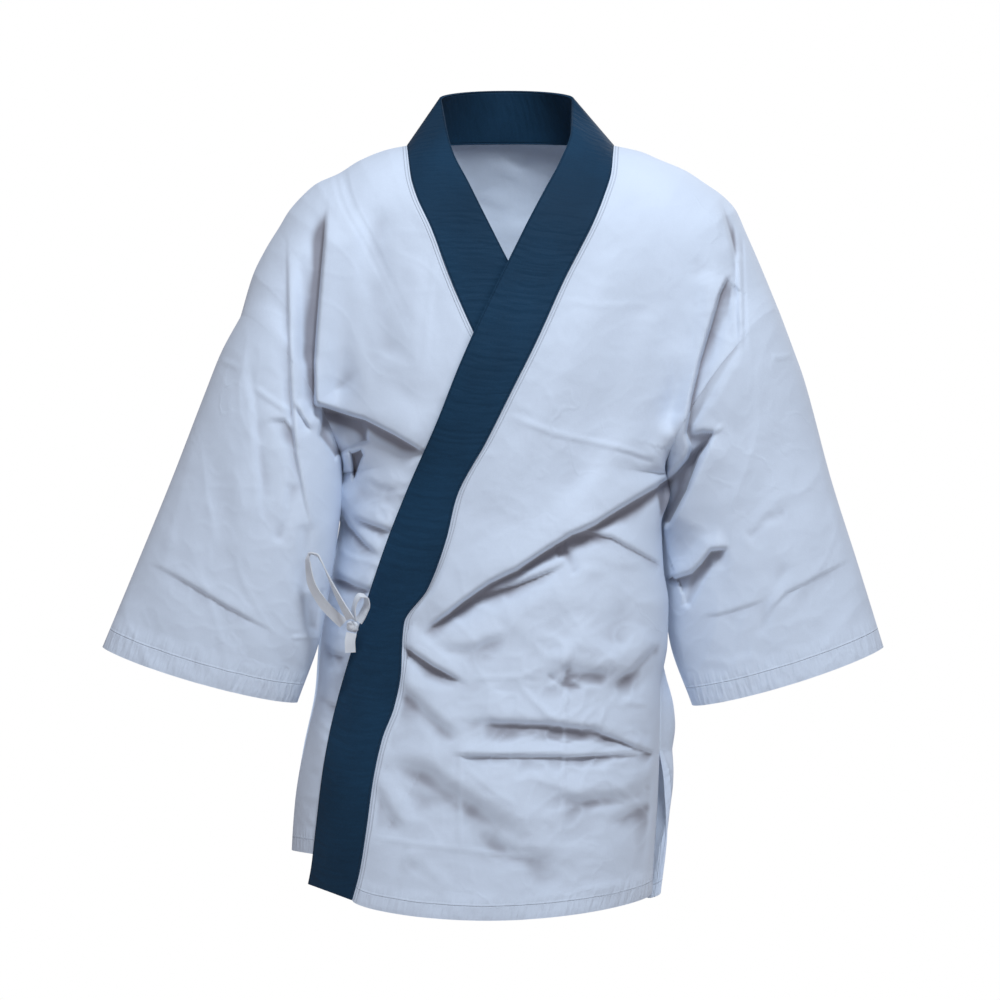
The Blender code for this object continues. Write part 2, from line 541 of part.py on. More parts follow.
WHITE, NAVY = (0.78, 0.82, 0.90), (0.012, 0.035, 0.075)

g = SEAM_GAP
P = trim(panel_points("back"), (g, 0, g, g))
add("back", *shell(P, PANEL_WALL, square=("top", "first", "last")), "white_cloth", colour=WHITE)
P = trim(panel_points("outer"), (g, 0, g, g))
add("front_left", *shell(P, PANEL_WALL, square=("top", "last")), "white_cloth", colour=WHITE)
P = trim(panel_points("under"), (g, 0, g, g))
add("front_right", *shell(P, PANEL_WALL, square=("top", "last")), "white_cloth", colour=WHITE)
for name, rows in (("sleeve_right", SLEEVE_R), ("sleeve_left", SLEEVE_L)):
    P = trim(sleeve_points(rows, 9), (g * 2, 0, 0, 0))
    add(name, *shell(P, PANEL_WALL, wrap=True), "white_cloth", colour=WHITE)

X, Y, Z = band_rows([0, 0.5, 1], ROWS, NECK)
P = trim(place(X, Y, Z), (0, 0, g * 2, 0))
add("neck_band", *shell(P, BAND_WALL), "navy_cloth", colour=NAVY)


def solid_tape(name, path, facing, width=0.0105, thick=0.0011, steps=16):
    """Flat tape: path rows are (across, depth, up) in mm, facing the way its width lies."""
    P = np.array([place(np.array(float(x)), np.array(float(y)), np.array(float(z))) for x, y, z in path])
    add(name, *shell(tape(P, width, thick, facing, steps), thick), "white_tape", colour=WHITE)


bmk = bmesh.new()
bmesh.ops.create_uvsphere(bmk, u_segments=10, v_segments=7, radius=1.0)
centre = place(np.array(KNOT[0]), np.array(KNOT[1]), np.array(KNOT[2]))
KV = [tuple(centre[i] + v.co[i] * KNOT_HALF[i] / 1000.0 for i in range(3)) for v in bmk.verts]
KF = [tuple(v.index for v in f.verts) for f in bmk.faces]
bmk.free()
add("tie_knot", KV, KF, "white_tape", colour=WHITE)
solid_tape("tie_loop_long", LOOP_LONG, LOOP_LONG_FACE, width=LONG_WIDTH, steps=20)
solid_tape("tie_loop_short", LOOP_SHORT, LOOP_SHORT_FACE, width=SHORT_WIDTH, steps=15)
solid_tape("tie_tail_front", TAIL, TAIL_FACE, width=TAIL_WIDTH, steps=8)
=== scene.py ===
"""Happi coat: looks.  Thin cloth pieces on the forms of their solids, folds placed one by one."""
import math
import bpy
import bmesh
import numpy as np
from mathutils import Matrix, Vector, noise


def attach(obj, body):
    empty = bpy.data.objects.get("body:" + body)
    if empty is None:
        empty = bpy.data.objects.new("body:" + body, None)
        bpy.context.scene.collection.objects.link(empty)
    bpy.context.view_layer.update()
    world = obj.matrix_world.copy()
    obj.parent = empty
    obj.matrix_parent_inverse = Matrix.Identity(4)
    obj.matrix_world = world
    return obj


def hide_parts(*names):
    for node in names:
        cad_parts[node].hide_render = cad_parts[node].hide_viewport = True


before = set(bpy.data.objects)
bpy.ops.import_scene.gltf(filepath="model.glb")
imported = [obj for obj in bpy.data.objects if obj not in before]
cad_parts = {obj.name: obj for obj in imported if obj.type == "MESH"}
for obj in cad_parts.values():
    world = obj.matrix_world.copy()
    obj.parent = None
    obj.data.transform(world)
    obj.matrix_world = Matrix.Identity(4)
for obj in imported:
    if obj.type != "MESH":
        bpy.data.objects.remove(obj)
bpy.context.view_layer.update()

# ----------------------------------------------------------------- form (mm)
# Outline tables are pairs (across, up) in millimetres, stated on the upright
# plane through the shoulders.  What stands in front of that plane is drawn in
# towards SIGHT by its depth, so that one table serves every layer.
SIGHT_X, SIGHT_Z, SIGHT_D = -10.0, -352.0, 2300.0


def table(x, xs, ys):
    """Monotone cubic through a short table."""
    xs = np.asarray(xs, float)
    ys = np.asarray(ys, float)
    if xs[0] > xs[-1]:
        xs, ys = xs[::-1], ys[::-1]
    x = np.clip(np.asarray(x, float), xs[0], xs[-1])
    h = np.diff(xs)
    d = np.diff(ys) / h
    m = np.empty(len(xs))
    m[0], m[-1] = d[0], d[-1]
    same = d[:-1] * d[1:] > 0
    m[1:-1] = np.where(same, 2 * d[:-1] * d[1:] / np.where(same, d[:-1] + d[1:], 1.0), 0.0)
    i = np.clip(np.searchsorted(xs, x) - 1, 0, len(h) - 1)
    t = (x - xs[i]) / h[i]
    t2, t3 = t * t, t * t * t
    return ((2 * t3 - 3 * t2 + 1) * ys[i] + (t3 - 2 * t2 + t) * h[i] * m[i]
            + (3 * t2 - 2 * t3) * ys[i + 1] + (t3 - t2) * h[i] * m[i + 1])


def along(points, t):
    """Smooth path through points; t is the fraction of its length."""
    p = np.asarray(points, float)
    s = np.r_[0, np.cumsum(np.linalg.norm(np.diff(p, axis=0), axis=1))]
    s /= s[-1]
    return np.stack([table(t, s, p[:, k]) for k in range(p.shape[1])], -1)


def step(x, a, b):
    t = np.clip((np.asarray(x, float) - a) / (b - a), 0, 1)
    return t * t * (3 - 2 * t)


def reach(X, Z, path):
    """Distance to a polyline, the side of it (+ left of travel), and the fraction along it."""
    p = np.asarray(path, float)
    seg = np.diff(p, axis=0)
    ln = np.linalg.norm(seg, axis=1)
    s0 = np.r_[0, np.cumsum(ln)]
    best = np.full(np.shape(X), 1e9)
    sign = np.ones(np.shape(X))
    frac = np.zeros(np.shape(X))
    for k in range(len(seg)):
        ax, az = X - p[k, 0], Z - p[k, 1]
        t = np.clip((ax * seg[k, 0] + az * seg[k, 1]) / (ln[k] ** 2), 0, 1)
        dx, dz = ax - t * seg[k, 0], az - t * seg[k, 1]
        d = np.hypot(dx, dz)
        c = seg[k, 0] * az - seg[k, 1] * ax
        m = d < best - 1e-9
        best = np.where(m, d, best)
        sign = np.where(m, np.sign(c), sign)
        frac = np.where(m, (s0[k] + t * ln[k]) / s0[-1], frac)
    return best, sign, frac


def place(X, Y, Z):
    k = 1.0 + np.minimum(Y, 0.0) / SIGHT_D
    return np.stack([SIGHT_X + (X - SIGHT_X) * k, Y + 0 * X, SIGHT_Z + (Z - SIGHT_Z) * k], -1) / 1000.0


# Outer outline of each half, neck point to cuff
SHOULDER_R = [(-102.0, 2.0), (-122.0, -2.0), (-150.0, -13.0), (-171.0, -26.0), (-193.0, -36.0), (-208.0, -49.0), (-221.0, -64.0),
              (-230.0, -79.0), (-243.0, -100.0), (-256.0, -126.0), (-269.0, -157.0), (-286.0, -198.0), (-304.0, -244.0), (-317.0, -276.0)]
SHOULDER_L = [(103.0, 2.0), (130.0, -4.0), (149.0, -12.0), (175.0, -23.0), (195.0, -36.0), (212.0, -48.0), (225.0, -62.0),
              (235.0, -84.0), (249.0, -116.0), (268.0, -162.0), (277.0, -181.0), (291.0, -223.0), (304.0, -271.0), (312.0, -302.0)]
TOP_R = SHOULDER_R[:10] + [(-269.0, -169.0)]      # shoulder line of the body, neck to armhole
TOP_L = SHOULDER_L[:9] + [(270.0, -167.0)]
OUTLINE = SHOULDER_R[::-1] + [(-60.0, 22.0), (0.0, 28.0), (60.0, 22.0)] + SHOULDER_L

# Trunk: level, right side, left side, front depth, back depth, side-seam depth right, left
TRUNK = [
    # z      right   left   front  back   yr    yl
    (30.0,  -170.0, 200.0,  92.0,  88.0,  0.0,  0.0),
    (-40.0, -182.0, 212.0, 108.0, 100.0,  0.0,  0.0),
    (-100.0, -186.0, 211.0, 118.0, 114.0,  0.0,  0.0),
    (-166.0, -190.0, 203.0, 125.0, 122.0,  0.0,  0.0),
    (-214.0, -191.0, 192.0, 129.0, 124.0,  0.0,  0.0),
    (-262.0, -187.0, 178.0, 130.0, 122.0,  4.0,  0.0),
    (-300.0, -174.0, 166.0, 129.0, 118.0,  8.0, -3.0),
    (-326.0, -165.6, 153.4, 128.0, 115.0, 10.0, -5.0),
    (-372.0, -170.0, 151.0, 126.0, 110.0, 14.0, -9.0),
    (-420.0, -179.0, 153.0, 126.0, 108.0, 16.0, -12.0),
    (-455.0, -186.0, 158.0, 127.0, 110.0, 17.0, -13.0),
    (-495.0, -192.0, 157.0, 130.0, 114.0, 17.0, -13.0),
    (-540.0, -195.0, 150.0, 133.0, 118.0, 15.0, -13.0),
    (-602.0, -207.0, 149.0, 136.0, 122.0, 10.0, -14.0),
    (-655.0, -215.0, 147.0, 138.0, 126.0,  6.0, -16.0),
    (-700.0, -218.0, 144.0, 140.0, 128.0,  4.0, -18.0),
    (-760.0, -220.0, 141.0, 142.0, 130.0,  2.0, -20.0),
]
TRUNK_COL = list(zip(*TRUNK))
TRUNK_ROUND = 2.3       # superellipse power of the trunk sections
ROLL = 88.0             # how far below the shoulder line the cloth has turned to face forward

# Sleeves: row per ring; outer edge, inner edge, half depth, depth of outer edge, depth of inner edge, sag of front
SLEEVE_R = [
    # outer          inner          half   yo     yi    front lift
    ((-269.0, -169.0), (-165.0, -326.0), 79.0,  0.0,  10.0,  24.0),
    ((-288.0, -204.0), (-166.0, -344.0), 77.0,  0.0,   0.0,  15.0),
    ((-304.0, -244.0), (-170.0, -372.0), 73.0, -3.0, -12.0,   8.0),
    ((-338.0, -332.0), (-178.0, -423.0), 64.0, -8.0, -26.0,   2.0),
    ((-372.0, -415.0), (-189.0, -485.0), 55.0,-13.0, -30.0,  -4.0),
    ((-407.0, -499.0), (-213.0, -554.0), 47.0,-18.0, -30.0,  -9.0),
]
SLEEVE_L = [
    ((270.0, -167.0), (153.0, -326.0), 79.0,  0.0,  -5.0,  24.0),
    ((283.0, -202.0), (152.0, -344.0), 77.0,  0.0,   4.0,  15.0),
    ((293.0, -230.0), (151.0, -372.0), 73.0,  0.0,  12.0,   8.0),
    ((321.0, -333.0), (154.0, -432.0), 64.0, -3.0,  20.0,   2.0),
    ((347.0, -415.0), (161.0, -492.0), 55.0, -6.0,  16.0,  -4.0),
    ((373.0, -499.0), (183.0, -557.0), 47.0,-10.0,   6.0,  -9.0),
]


def sleeve(rows, s, phi):
    """Point of a sleeve: s 0..1 armhole to cuff, phi 0 outer edge, pi inner edge, front half first."""
    n = len(rows)
    mid = np.array([[(r[0][0] + r[1][0]) / 2, (r[0][1] + r[1][1]) / 2] for r in rows])
    ln = np.r_[0, np.cumsum(np.linalg.norm(np.diff(mid, axis=0), axis=1))]
    ln /= ln[-1]
    col = lambda v: table(s, ln, v)
    ox, oz = col([r[0][0] for r in rows]), col([r[0][1] for r in rows])
    ix, iz = col([r[1][0] for r in rows]), col([r[1][1] for r in rows])
    b, yo, yi, lift = [col([r[k] for r in rows]) for k in (2, 3, 4, 5)]
    ax, az = mid[-1] - mid[0]
    al = np.hypot(ax, az)
    c, sn = np.cos(phi), np.sin(phi)
    up = np.where(sn > 0, lift, -0.35 * np.abs(lift)) * np.abs(sn) ** 1.3
    X = (ox + ix) / 2 + (ox - ix) / 2 * c - ax / al * up
    Z = (oz + iz) / 2 + (oz - iz) / 2 * c - az / al * up
    Y = (yo + yi) / 2 + (yo - yi) / 2 * c - b * np.sign(sn) * np.abs(sn) ** 0.92
    return X, Y, Z


def trunk_y(X, Z, side):
    """Depth of the body form: side -1 front, +1 back."""
    z, xr, xl, df, db, yr, yl = TRUNK_COL
    a, b = table(Z, z, xr), table(Z, z, xl)
    xi = np.clip((X - (a + b) / 2) / ((b - a) / 2), -1, 1)
    d = table(Z, z, df if side < 0 else db)
    t, sign, _ = reach(X, Z, OUTLINE)
    inside = np.where(sign < 0, t, 0.0)
    roll = lambda r: np.sqrt(np.clip(1 - (1 - np.clip(inside / r, 0, 1)) ** 2, 0, 1))
    D = d * (1 - np.abs(xi) ** TRUNK_ROUND) ** (1 / TRUNK_ROUND) * roll(ROLL)
    for rows in (SLEEVE_R, SLEEVE_L):
        o0, i0, o1, i1 = [np.array(q) for q in (rows[0][0], rows[0][1], rows[-1][0], rows[-1][1])]
        c0, c1 = (o0 + i0) / 2, (o1 + i1) / 2
        ax = (c1 - c0) / np.linalg.norm(c1 - c0)
        nx = np.array([ax[1], -ax[0]]) * (1 if rows is SLEEVE_R else -1)
        q = (X - c0[0]) * nx[0] + (Z - c0[1]) * nx[1]
        h = abs(np.dot(o0 - c0, nx)) + 3.0
        arm = rows[0][2] * np.sqrt(np.clip(1 - (np.minimum(q, 0) / h) ** 2, 0, 1)) * roll(66.0)
        arm = arm * (q < 1.6 * h)
        arm = arm * step(Z, -318, -268)
        k = 16.0
        D = 0.5 * (D + arm + np.sqrt((D - arm) ** 2 + k * k)) - 0.5 * np.sqrt(k * k)
    D = np.maximum(D, 0)
    yc = table(Z, z, yr) + (table(Z, z, yl) - table(Z, z, yr)) * (xi + 1) / 2
    return yc + side * D


# Seam lines.  Front edges: where each front meets the band; free edges: the band's other side.
EDGE_OUTER = [(103.0, 2.0), (101.0, -24.0), (94.0, -48.0), (84.0, -73.0), (70.0, -101.0), (56.0, -128.0), (27.0, -192.0), (2.0, -242.0),
              (-23.0, -292.0), (-53.0, -348.0), (-64.0, -392.0), (-82.0, -440.0), (-106.0, -475.0), (-108.0, -496.0), (-109.0, -523.0), (-116.0, -559.0),
              (-128.0, -591.0), (-137.0, -632.0), (-144.0, -683.0), (-151.0, -726.0), (-158.0, -752.0)]
FREE_OUTER = [(62.0, 50.0), (61.0, 18.0), (50.0, -13.0), (35.0, -41.0), (19.0, -71.0), (4.0, -101.0), (-25.0, -160.0), (-51.0, -218.0),
              (-73.0, -274.0), (-102.0, -341.0), (-122.0, -392.0), (-139.0, -442.0), (-152.0, -484.0), (-158.0, -504.0), (-163.0, -521.0), (-172.0, -553.0),
              (-180.0, -587.0), (-187.0, -627.0), (-193.0, -677.0), (-198.0, -720.0), (-201.0, -736.0)]
EDGE_UNDER = [(-102.0, 2.0), (-99.0, -27.0), (-94.0, -46.0), (-78.0, -82.0), (-59.0, -132.0), (-37.0, -183.0), (-10.0, -237.0), (9.0, -282.0),
              (35.0, -352.0), (50.0, -412.0), (62.0, -472.0), (71.0, -532.0), (76.0, -612.0), (78.0, -692.0), (80.0, -736.0)]
FREE_UNDER = [(-69.0, 50.0), (-64.0, 22.0), (-58.0, -1.0), (-41.0, -35.0), (-23.0, -71.0), (-2.0, -113.0), (26.0, -172.0), (48.0, -230.0),
              (78.0, -314.0), (96.0, -387.0), (110.0, -457.0), (120.0, -526.0), (124.0, -608.0), (125.0, -688.0), (126.0, -734.0)]
UNDERARM = 0.42         # fraction of a body panel's side edge taken by the armhole


def side_edge(rows, v, half, back=False):
    """Side edge of a body panel: armhole (half ring), then side seam to the hem."""
    z, xr, xl, df, db, yr, yl = TRUNK_COL
    right = rows is SLEEVE_R
    phi = np.pi * np.clip(v / UNDERARM, 0, 1)
    X, Y, Z = sleeve(rows, 0.0 * v, phi if not back else -phi)
    f = np.clip((v - UNDERARM) / (1 - UNDERARM), 0, 1)
    z0 = rows[0][1][1]
    hem = HEM_RIGHT if right else HEM_LEFT
    Zs = z0 + (hem - z0) * f
    Xs = table(Zs, z, xr if right else xl)
    Ys = table(Zs, z, yr if right else yl)
    x_top = rows[0][1][0]
    Xs = Xs + (x_top - table(z0, z, xr if right else xl)) * (1 - step(f, 0, 0.06))
    if back and not right:
        # the left slit: the back's edge stands out beyond the front's
        Xs = Xs + table(Zs, SLIT_LEVEL, SLIT_OUT)
        Ys = Ys + table(Zs, SLIT_LEVEL, SLIT_BEHIND)
    low = v > UNDERARM
    return np.where(low, Xs, X), np.where(low, Ys, Y), np.where(low, Zs, Z)


SLIT_LEVEL = [-745.0, -690.0, -655.0, -625.0, -602.0]
SLIT_OUT = [9.0, 12.5, 9.0, 5.0, 0.0]
SLIT_BEHIND = [8.0, 8.0, 6.0, 4.0, 0.0]
# How far the back swells beyond the left side seam, by level
SWELL_LEVEL = [-745.0, -690.0, -669.0, -630.0, -602.0, -580.0, -560.0, -545.0, -528.0, -510.0, -495.0, -480.0]
SWELL_OUT = [3.0, 10.0, 14.5, 23.0, 27.5, 30.0, 28.0, 24.0, 17.0, 7.0, 2.0, 0.0]


HEM_RIGHT, HEM_LEFT = -702.0, -745.0     # hem level at the side seams


def body_panel(kind, u, v):
    """Mid surface of a body panel on grids u (0 front edge or right side .. 1 side) and v (0 shoulder .. 1 hem)."""
    U, V = u, v
    if kind == "back":
        ax, ay, az = side_edge(SLEEVE_R, V, -1, True)
        bx, by, bz = side_edge(SLEEVE_L, V, 1, True)
        pr = along(TOP_R[::-1], np.clip(U / 0.32, 0, 1))
        pl = along(TOP_L, np.clip((U - 0.68) / 0.32, 0, 1))
        n = np.clip((U - 0.32) / 0.36, 0, 1)
        nx = (-102.0, 7.0)[0] + ((103.0, 2.0)[0] - (-102.0, 7.0)[0]) * n
        nz = 2.0 + 12.0 * np.sin(np.pi * n) ** 0.8
        tx = np.where(U < 0.32, pr[..., 0], np.where(U > 0.68, pl[..., 0], nx))
        tz = np.where(U < 0.32, pr[..., 1], np.where(U > 0.68, pl[..., 1], nz))
        ty = np.where((U >= 0.32) & (U <= 0.68), NECK_BACK * np.sin(np.pi * n) ** 0.75, 0.0)
        side = 1
    else:
        outer = kind == "outer"
        edge = EDGE_OUTER if outer else EDGE_UNDER
        rows = SLEEVE_L if outer else SLEEVE_R
        fx, fz = front_edge(edge, V)
        ax, az = fx, fz
        ay = 0 * ax
        bx, by, bz = side_edge(rows, V, 1)
        top = TOP_L if outer else TOP_R
        tp = along([edge[0]] + top[1:], U)
        tx, tz = tp[..., 0], tp[..., 1]
        ty = 0 * tx
        side = -1
    b = (1 - V) ** 2.2
    # corner values along the top and bottom rows
    c0x, c0z = ax[0:1, 0:1], az[0:1, 0:1]
    c1x, c1z = bx[0:1, -1:], bz[0:1, -1:]
    X = (1 - U) * ax + U * bx + b * (tx - (1 - U) * c0x - U * c1x)
    Z = (1 - U) * az + U * bz + b * (tz - (1 - U) * c0z - U * c1z)
    Z = Z - HEM_SAG[kind] * np.abs(np.sin(np.pi * U)) ** 0.6 * V ** 5
    # rows leave the underarm corner slanting down, between the armhole and the side seam
    for e in ((U, 1 - U) if kind == "back" else ()):
        Z = Z - 17.0 * np.exp(-((V - UNDERARM) / 0.05) ** 2) * (e / 0.05) * np.exp(1 - e / 0.05)
    form = X
    if kind == "back":
        e = 1 - U
        X = X + table(Z, SWELL_LEVEL, SWELL_OUT) * (e / SWELL_AT * np.exp(1 - e / SWELL_AT)) ** 2 * (V > UNDERARM)
    else:
        # below the underarm the front rolls out against the sleeve
        e = 1 - U
        X = X + (1 if outer else -1) * UNDERARM_ROLL * np.exp(-((Z + 345.0) / 22.0) ** 2) * (e / 0.06 * np.exp(1 - e / 0.06)) ** 2
    least = 56.0 * np.sin(np.pi * np.clip(V / UNDERARM, 0, 0.5)) ** 0.92 * (1 - step(V, 0.09, 0.2))
    Y = trunk_y(form, Z, side)
    Y = side * np.maximum(side * Y, least)
    # meet the side edge, and the given top line, exactly
    if kind == "back":
        ea = ay - Y[:, :1]
        eb = by - Y[:, -1:]
        wa, wb = np.exp(-(U / 0.085) ** 1.6), np.exp(-((1 - U) / 0.085) ** 1.6)
        Y = Y + ea * wa + eb * wb
    else:
        eb = by - Y[:, -1:]
        Y = Y + eb * np.exp(-((1 - U) / 0.11) ** 1.6)
    et = ty - Y[:1, :]
    Y = Y + et * np.exp(-(V / 0.10) ** 1.4)
    return X, Y, Z


NECK_BACK = 66.0
SWELL_AT = 0.045          # where across the back the swelling is greatest, from the side seam
UNDERARM_ROLL = 7.0
HEM_SAG = {"outer": 24.0, "under": 4.0, "back": 24.0}     # how far a hem hangs below its two corners


def front_edge(edge, V):
    """Front edge at panel fraction V: level falls steadily to the hem."""
    e = np.asarray(edge, float)
    z0, z1 = e[0, 1], e[-1, 1]
    zz = z0 + (z1 - z0) * np.interp(V, [0, UNDERARM, 1], [0, 0.43, 1])
    return table(zz, e[::-1, 1], e[::-1, 0]), zz


UNDER_GAP = 11.0


def under_drop(X, Z):
    """How far the under layer is pressed in where the outer front lies on it."""
    t, sign, _ = reach(X, Z, FREE_OUTER)
    d = np.where(sign > 0, t, -t)      # + on the outer panel's side
    return UNDER_GAP * step(d, -26.0, 4.0)


def fold_lift(X, Z, folds):
    """Height of the folds at (X, Z): each a path, its height, lit width, shadow width and drop."""
    H = np.zeros(np.shape(X))
    for path, height, lit, shade, drop in folds:
        t, sign, f = reach(X, Z, path)
        ends = step(f, 0.0, 0.18) * (1 - step(f, 0.82, 1.0))
        d = t * sign
        hi = height * np.exp(-(np.maximum(d, 0) / lit) ** 2)
        m = np.maximum(-d, 0)
        lo = height * (1 - step(m, 0, shade)) - drop * step(m, 0, shade) * np.exp(-(m / (3.2 * shade)) ** 2)
        H = H + np.where(d >= 0, hi, lo) * ends
    return H


def band_rows(across, v, n):
    """Band mid surface, one row per v of the under front, per n of the back neck, per v of the outer front;
    across 0 is the seam, 1 the free edge."""
    rows = []
    for edge, free, lay in ((EDGE_UNDER, FREE_UNDER, "under"), (EDGE_OUTER, FREE_OUTER, "outer")):
        e, f = np.asarray(edge, float), np.asarray(free, float)
        ex, ez = front_edge(edge, v)
        gx, gz = table(ez, e[:, 1], f[:, 0]), table(ez, e[:, 1], f[:, 1])
        a = np.asarray(across, float)[None, :]
        X = ex[:, None] * (1 - a) + gx[:, None] * a
        Z = ez[:, None] * (1 - a) + gz[:, None] * a
        flat = trunk_y(X, Z, -1)
        # at the neck the strip stands up from its seam instead of lying on the chest
        stand = trunk_y(ex, ez, -1)[:, None] * (1 - a) + table(Z[:, -1:], [70.0, 50.0, 18.0, -13.0, -41.0, -75.0, -140.0], [6.0, 0.0, -38.0, -66.0, -84.0, -98.0, -112.0]) * a
        k = step(ez, -140.0, -16.0)[:, None]
        Y = flat * (1 - k) + stand * k
        top = np.exp(-(v / 0.10) ** 1.4)[:, None] * (0.0 - trunk_y(ex[:1], ez[:1], -1))
        Y = Y + top * (1 - a)
        Y = Y + (under_drop(X, Z) if lay == "under" else -1.2 * step(v, 0.0, 0.05)[:, None])
        rows.append(np.stack([X, Y, Z], -1))
    under, outer = rows[0][::-1], rows[1]
    n = np.asarray(n, float)
    s = np.sin(np.pi * n)
    E = np.stack([-102.0 + 205.0 * n, NECK_BACK * s ** 0.75, 2 + 12 * s ** 0.8], -1)
    g0, g1 = under[-1, -1], outer[0, -1]
    G = np.stack([g0[0] + (g1[0] - g0[0]) * n, g0[1] + 50 * s ** 0.9, g0[2] + 16 * s ** 0.7], -1)
    a = np.asarray(across, float)[None, :, None]
    back = E[:, None] * (1 - a) + G[:, None] * a
    P = np.concatenate([under, back, outer], 0)
    return P[..., 0], P[..., 1], P[..., 2]


def grid_normals(P, wrap=False):
    if wrap:
        Q = np.concatenate([P[:, -1:], P, P[:, :1]], 1)
        du = (Q[:, 2:] - Q[:, :-2])
    else:
        du = np.gradient(P, axis=1)
    dv = np.gradient(P, axis=0)
    n = np.cross(du, dv)
    return n / np.maximum(np.linalg.norm(n, axis=-1, keepdims=True), 1e-12)


def trim(P, gaps):
    """Pull the four edges of a grid (row 0, last row, col 0, last col) back by these metres."""
    P = P.copy()
    for axis, first, last in ((0, gaps[0], gaps[1]), (1, gaps[2], gaps[3])):
        Q = np.moveaxis(P, axis, 0)
        if first:
            d = Q[1] - Q[0]
            Q[0] += d * (first / np.maximum(np.linalg.norm(d, axis=-1, keepdims=True), first * 1.5))
        if last:
            d = Q[-2] - Q[-1]
            Q[-1] += d * (last / np.maximum(np.linalg.norm(d, axis=-1, keepdims=True), last * 1.5))
    return P


def shell(P, thick, wrap=False, square=()):
    """Closed thin solid around a grid of points; square lists edges whose end face stands in the seam plane."""
    n = grid_normals(P, wrap)
    if "top" in square:
        n[0, :, 1] = 0.0
    for name, col in (("first", 0), ("last", -1)):
        if name in square:
            low = P[:, col, 2] < -0.318
            n[low, col, 1] = 0.0
    n = n / np.linalg.norm(n, axis=-1, keepdims=True) * (thick / 2)
    r, c = P.shape[:2]
    V = np.concatenate([(P + n).reshape(-1, 3), (P - n).reshape(-1, 3)])
    o = r * c
    F = []
    cols = c if wrap else c - 1
    for i in range(r - 1):
        for j in range(cols):
            a, b = i * c + j, i * c + (j + 1) % c
            d, e = (i + 1) * c + j, (i + 1) * c + (j + 1) % c
            F.append((a, b, e, d))
            F.append((o + a, o + d, o + e, o + b))
    for j in range(cols):
        a, b = j, (j + 1) % c
        F.append((b, a, o + a, o + b))
        a, b = (r - 1) * c + j, (r - 1) * c + (j + 1) % c
        F.append((a, b, o + b, o + a))
    if not wrap:
        for i in range(r - 1):
            a, d = i * c, (i + 1) * c
            F.append((a, d, o + d, o + a))
            a, d = i * c + c - 1, (i + 1) * c + c - 1
            F.append((d, a, o + a, o + d))
    return V, F


def tape(points, width, thick, faces=None, steps=24):
    """Flat tape along a 3-D path (metres); faces gives a width direction per path point."""
    t = np.linspace(0, 1, steps)
    C = along(points, t)
    W = along(faces, np.linspace(0, 1, steps))
    T = np.gradient(C, axis=0)
    T /= np.linalg.norm(T, axis=1, keepdims=True)
    W = W - T * (W * T).sum(1, keepdims=True)
    W /= np.linalg.norm(W, axis=1, keepdims=True)
    return np.stack([C - W * width / 2, C, C + W * width / 2], 1)


# Tie: a bow of flat tape at the wearer's right, beside the band.  Rows: across, depth, up (mm)
KNOT = (-157.5, -88.0, -478.5)
KNOT_HALF = (6.0, 4.6, 5.4)
LOOP_LONG = [(-159.5, -95.5, -471.0), (-166.5, -98.5, -459.0), (-178.5, -103.0, -435.0), (-188.5, -106.5, -413.5),
             (-193.0, -106.0, -407.0), (-198.5, -103.0, -406.0), (-202.0, -100.0, -412.0),
             (-199.5, -96.5, -432.0), (-189.0, -92.5, -452.5), (-174.5, -88.0, -468.5), (-166.5, -86.0, -475.5)]
LOOP_LONG_FACE = [(0.70, -0.65, 0.20), (0.50, -0.85, 0.15), (0.30, -0.95, 0.10), (0.12, -1.0, 0.05), (0.08, -1.0, 0.08),
                  (0.40, -0.85, 0.20), (0.70, -0.55, 0.30), (0.80, -0.30, 0.40), (0.70, -0.15, 0.60)]
LOOP_SHORT = [(-156.0, -93.5, -472.0), (-156.5, -97.0, -463.0), (-154.5, -100.0, -453.5), (-149.5, -101.5, -447.5),
              (-144.5, -100.5, -448.0), (-143.0, -97.0, -455.0), (-147.0, -93.0, -466.0), (-151.5, -90.5, -473.5)]
LOOP_SHORT_FACE = [(0.55, -0.80, 0.0), (0.50, -0.85, 0.0), (0.40, -0.90, -0.20), (0.60, -0.70, -0.40), (0.75, -0.60, -0.30), (0.85, -0.40, -0.40)]
TAIL = [(-158.5, -93.0, -485.0), (-160.0, -92.5, -494.0), (-159.5, -90.5, -504.5)]
TAIL_FACE = [(1.0, -0.15, 0.1), (1.0, 0.1, 0.05)]
LONG_WIDTH, SHORT_WIDTH, TAIL_WIDTH = 0.0105, 0.0085, 0.0100




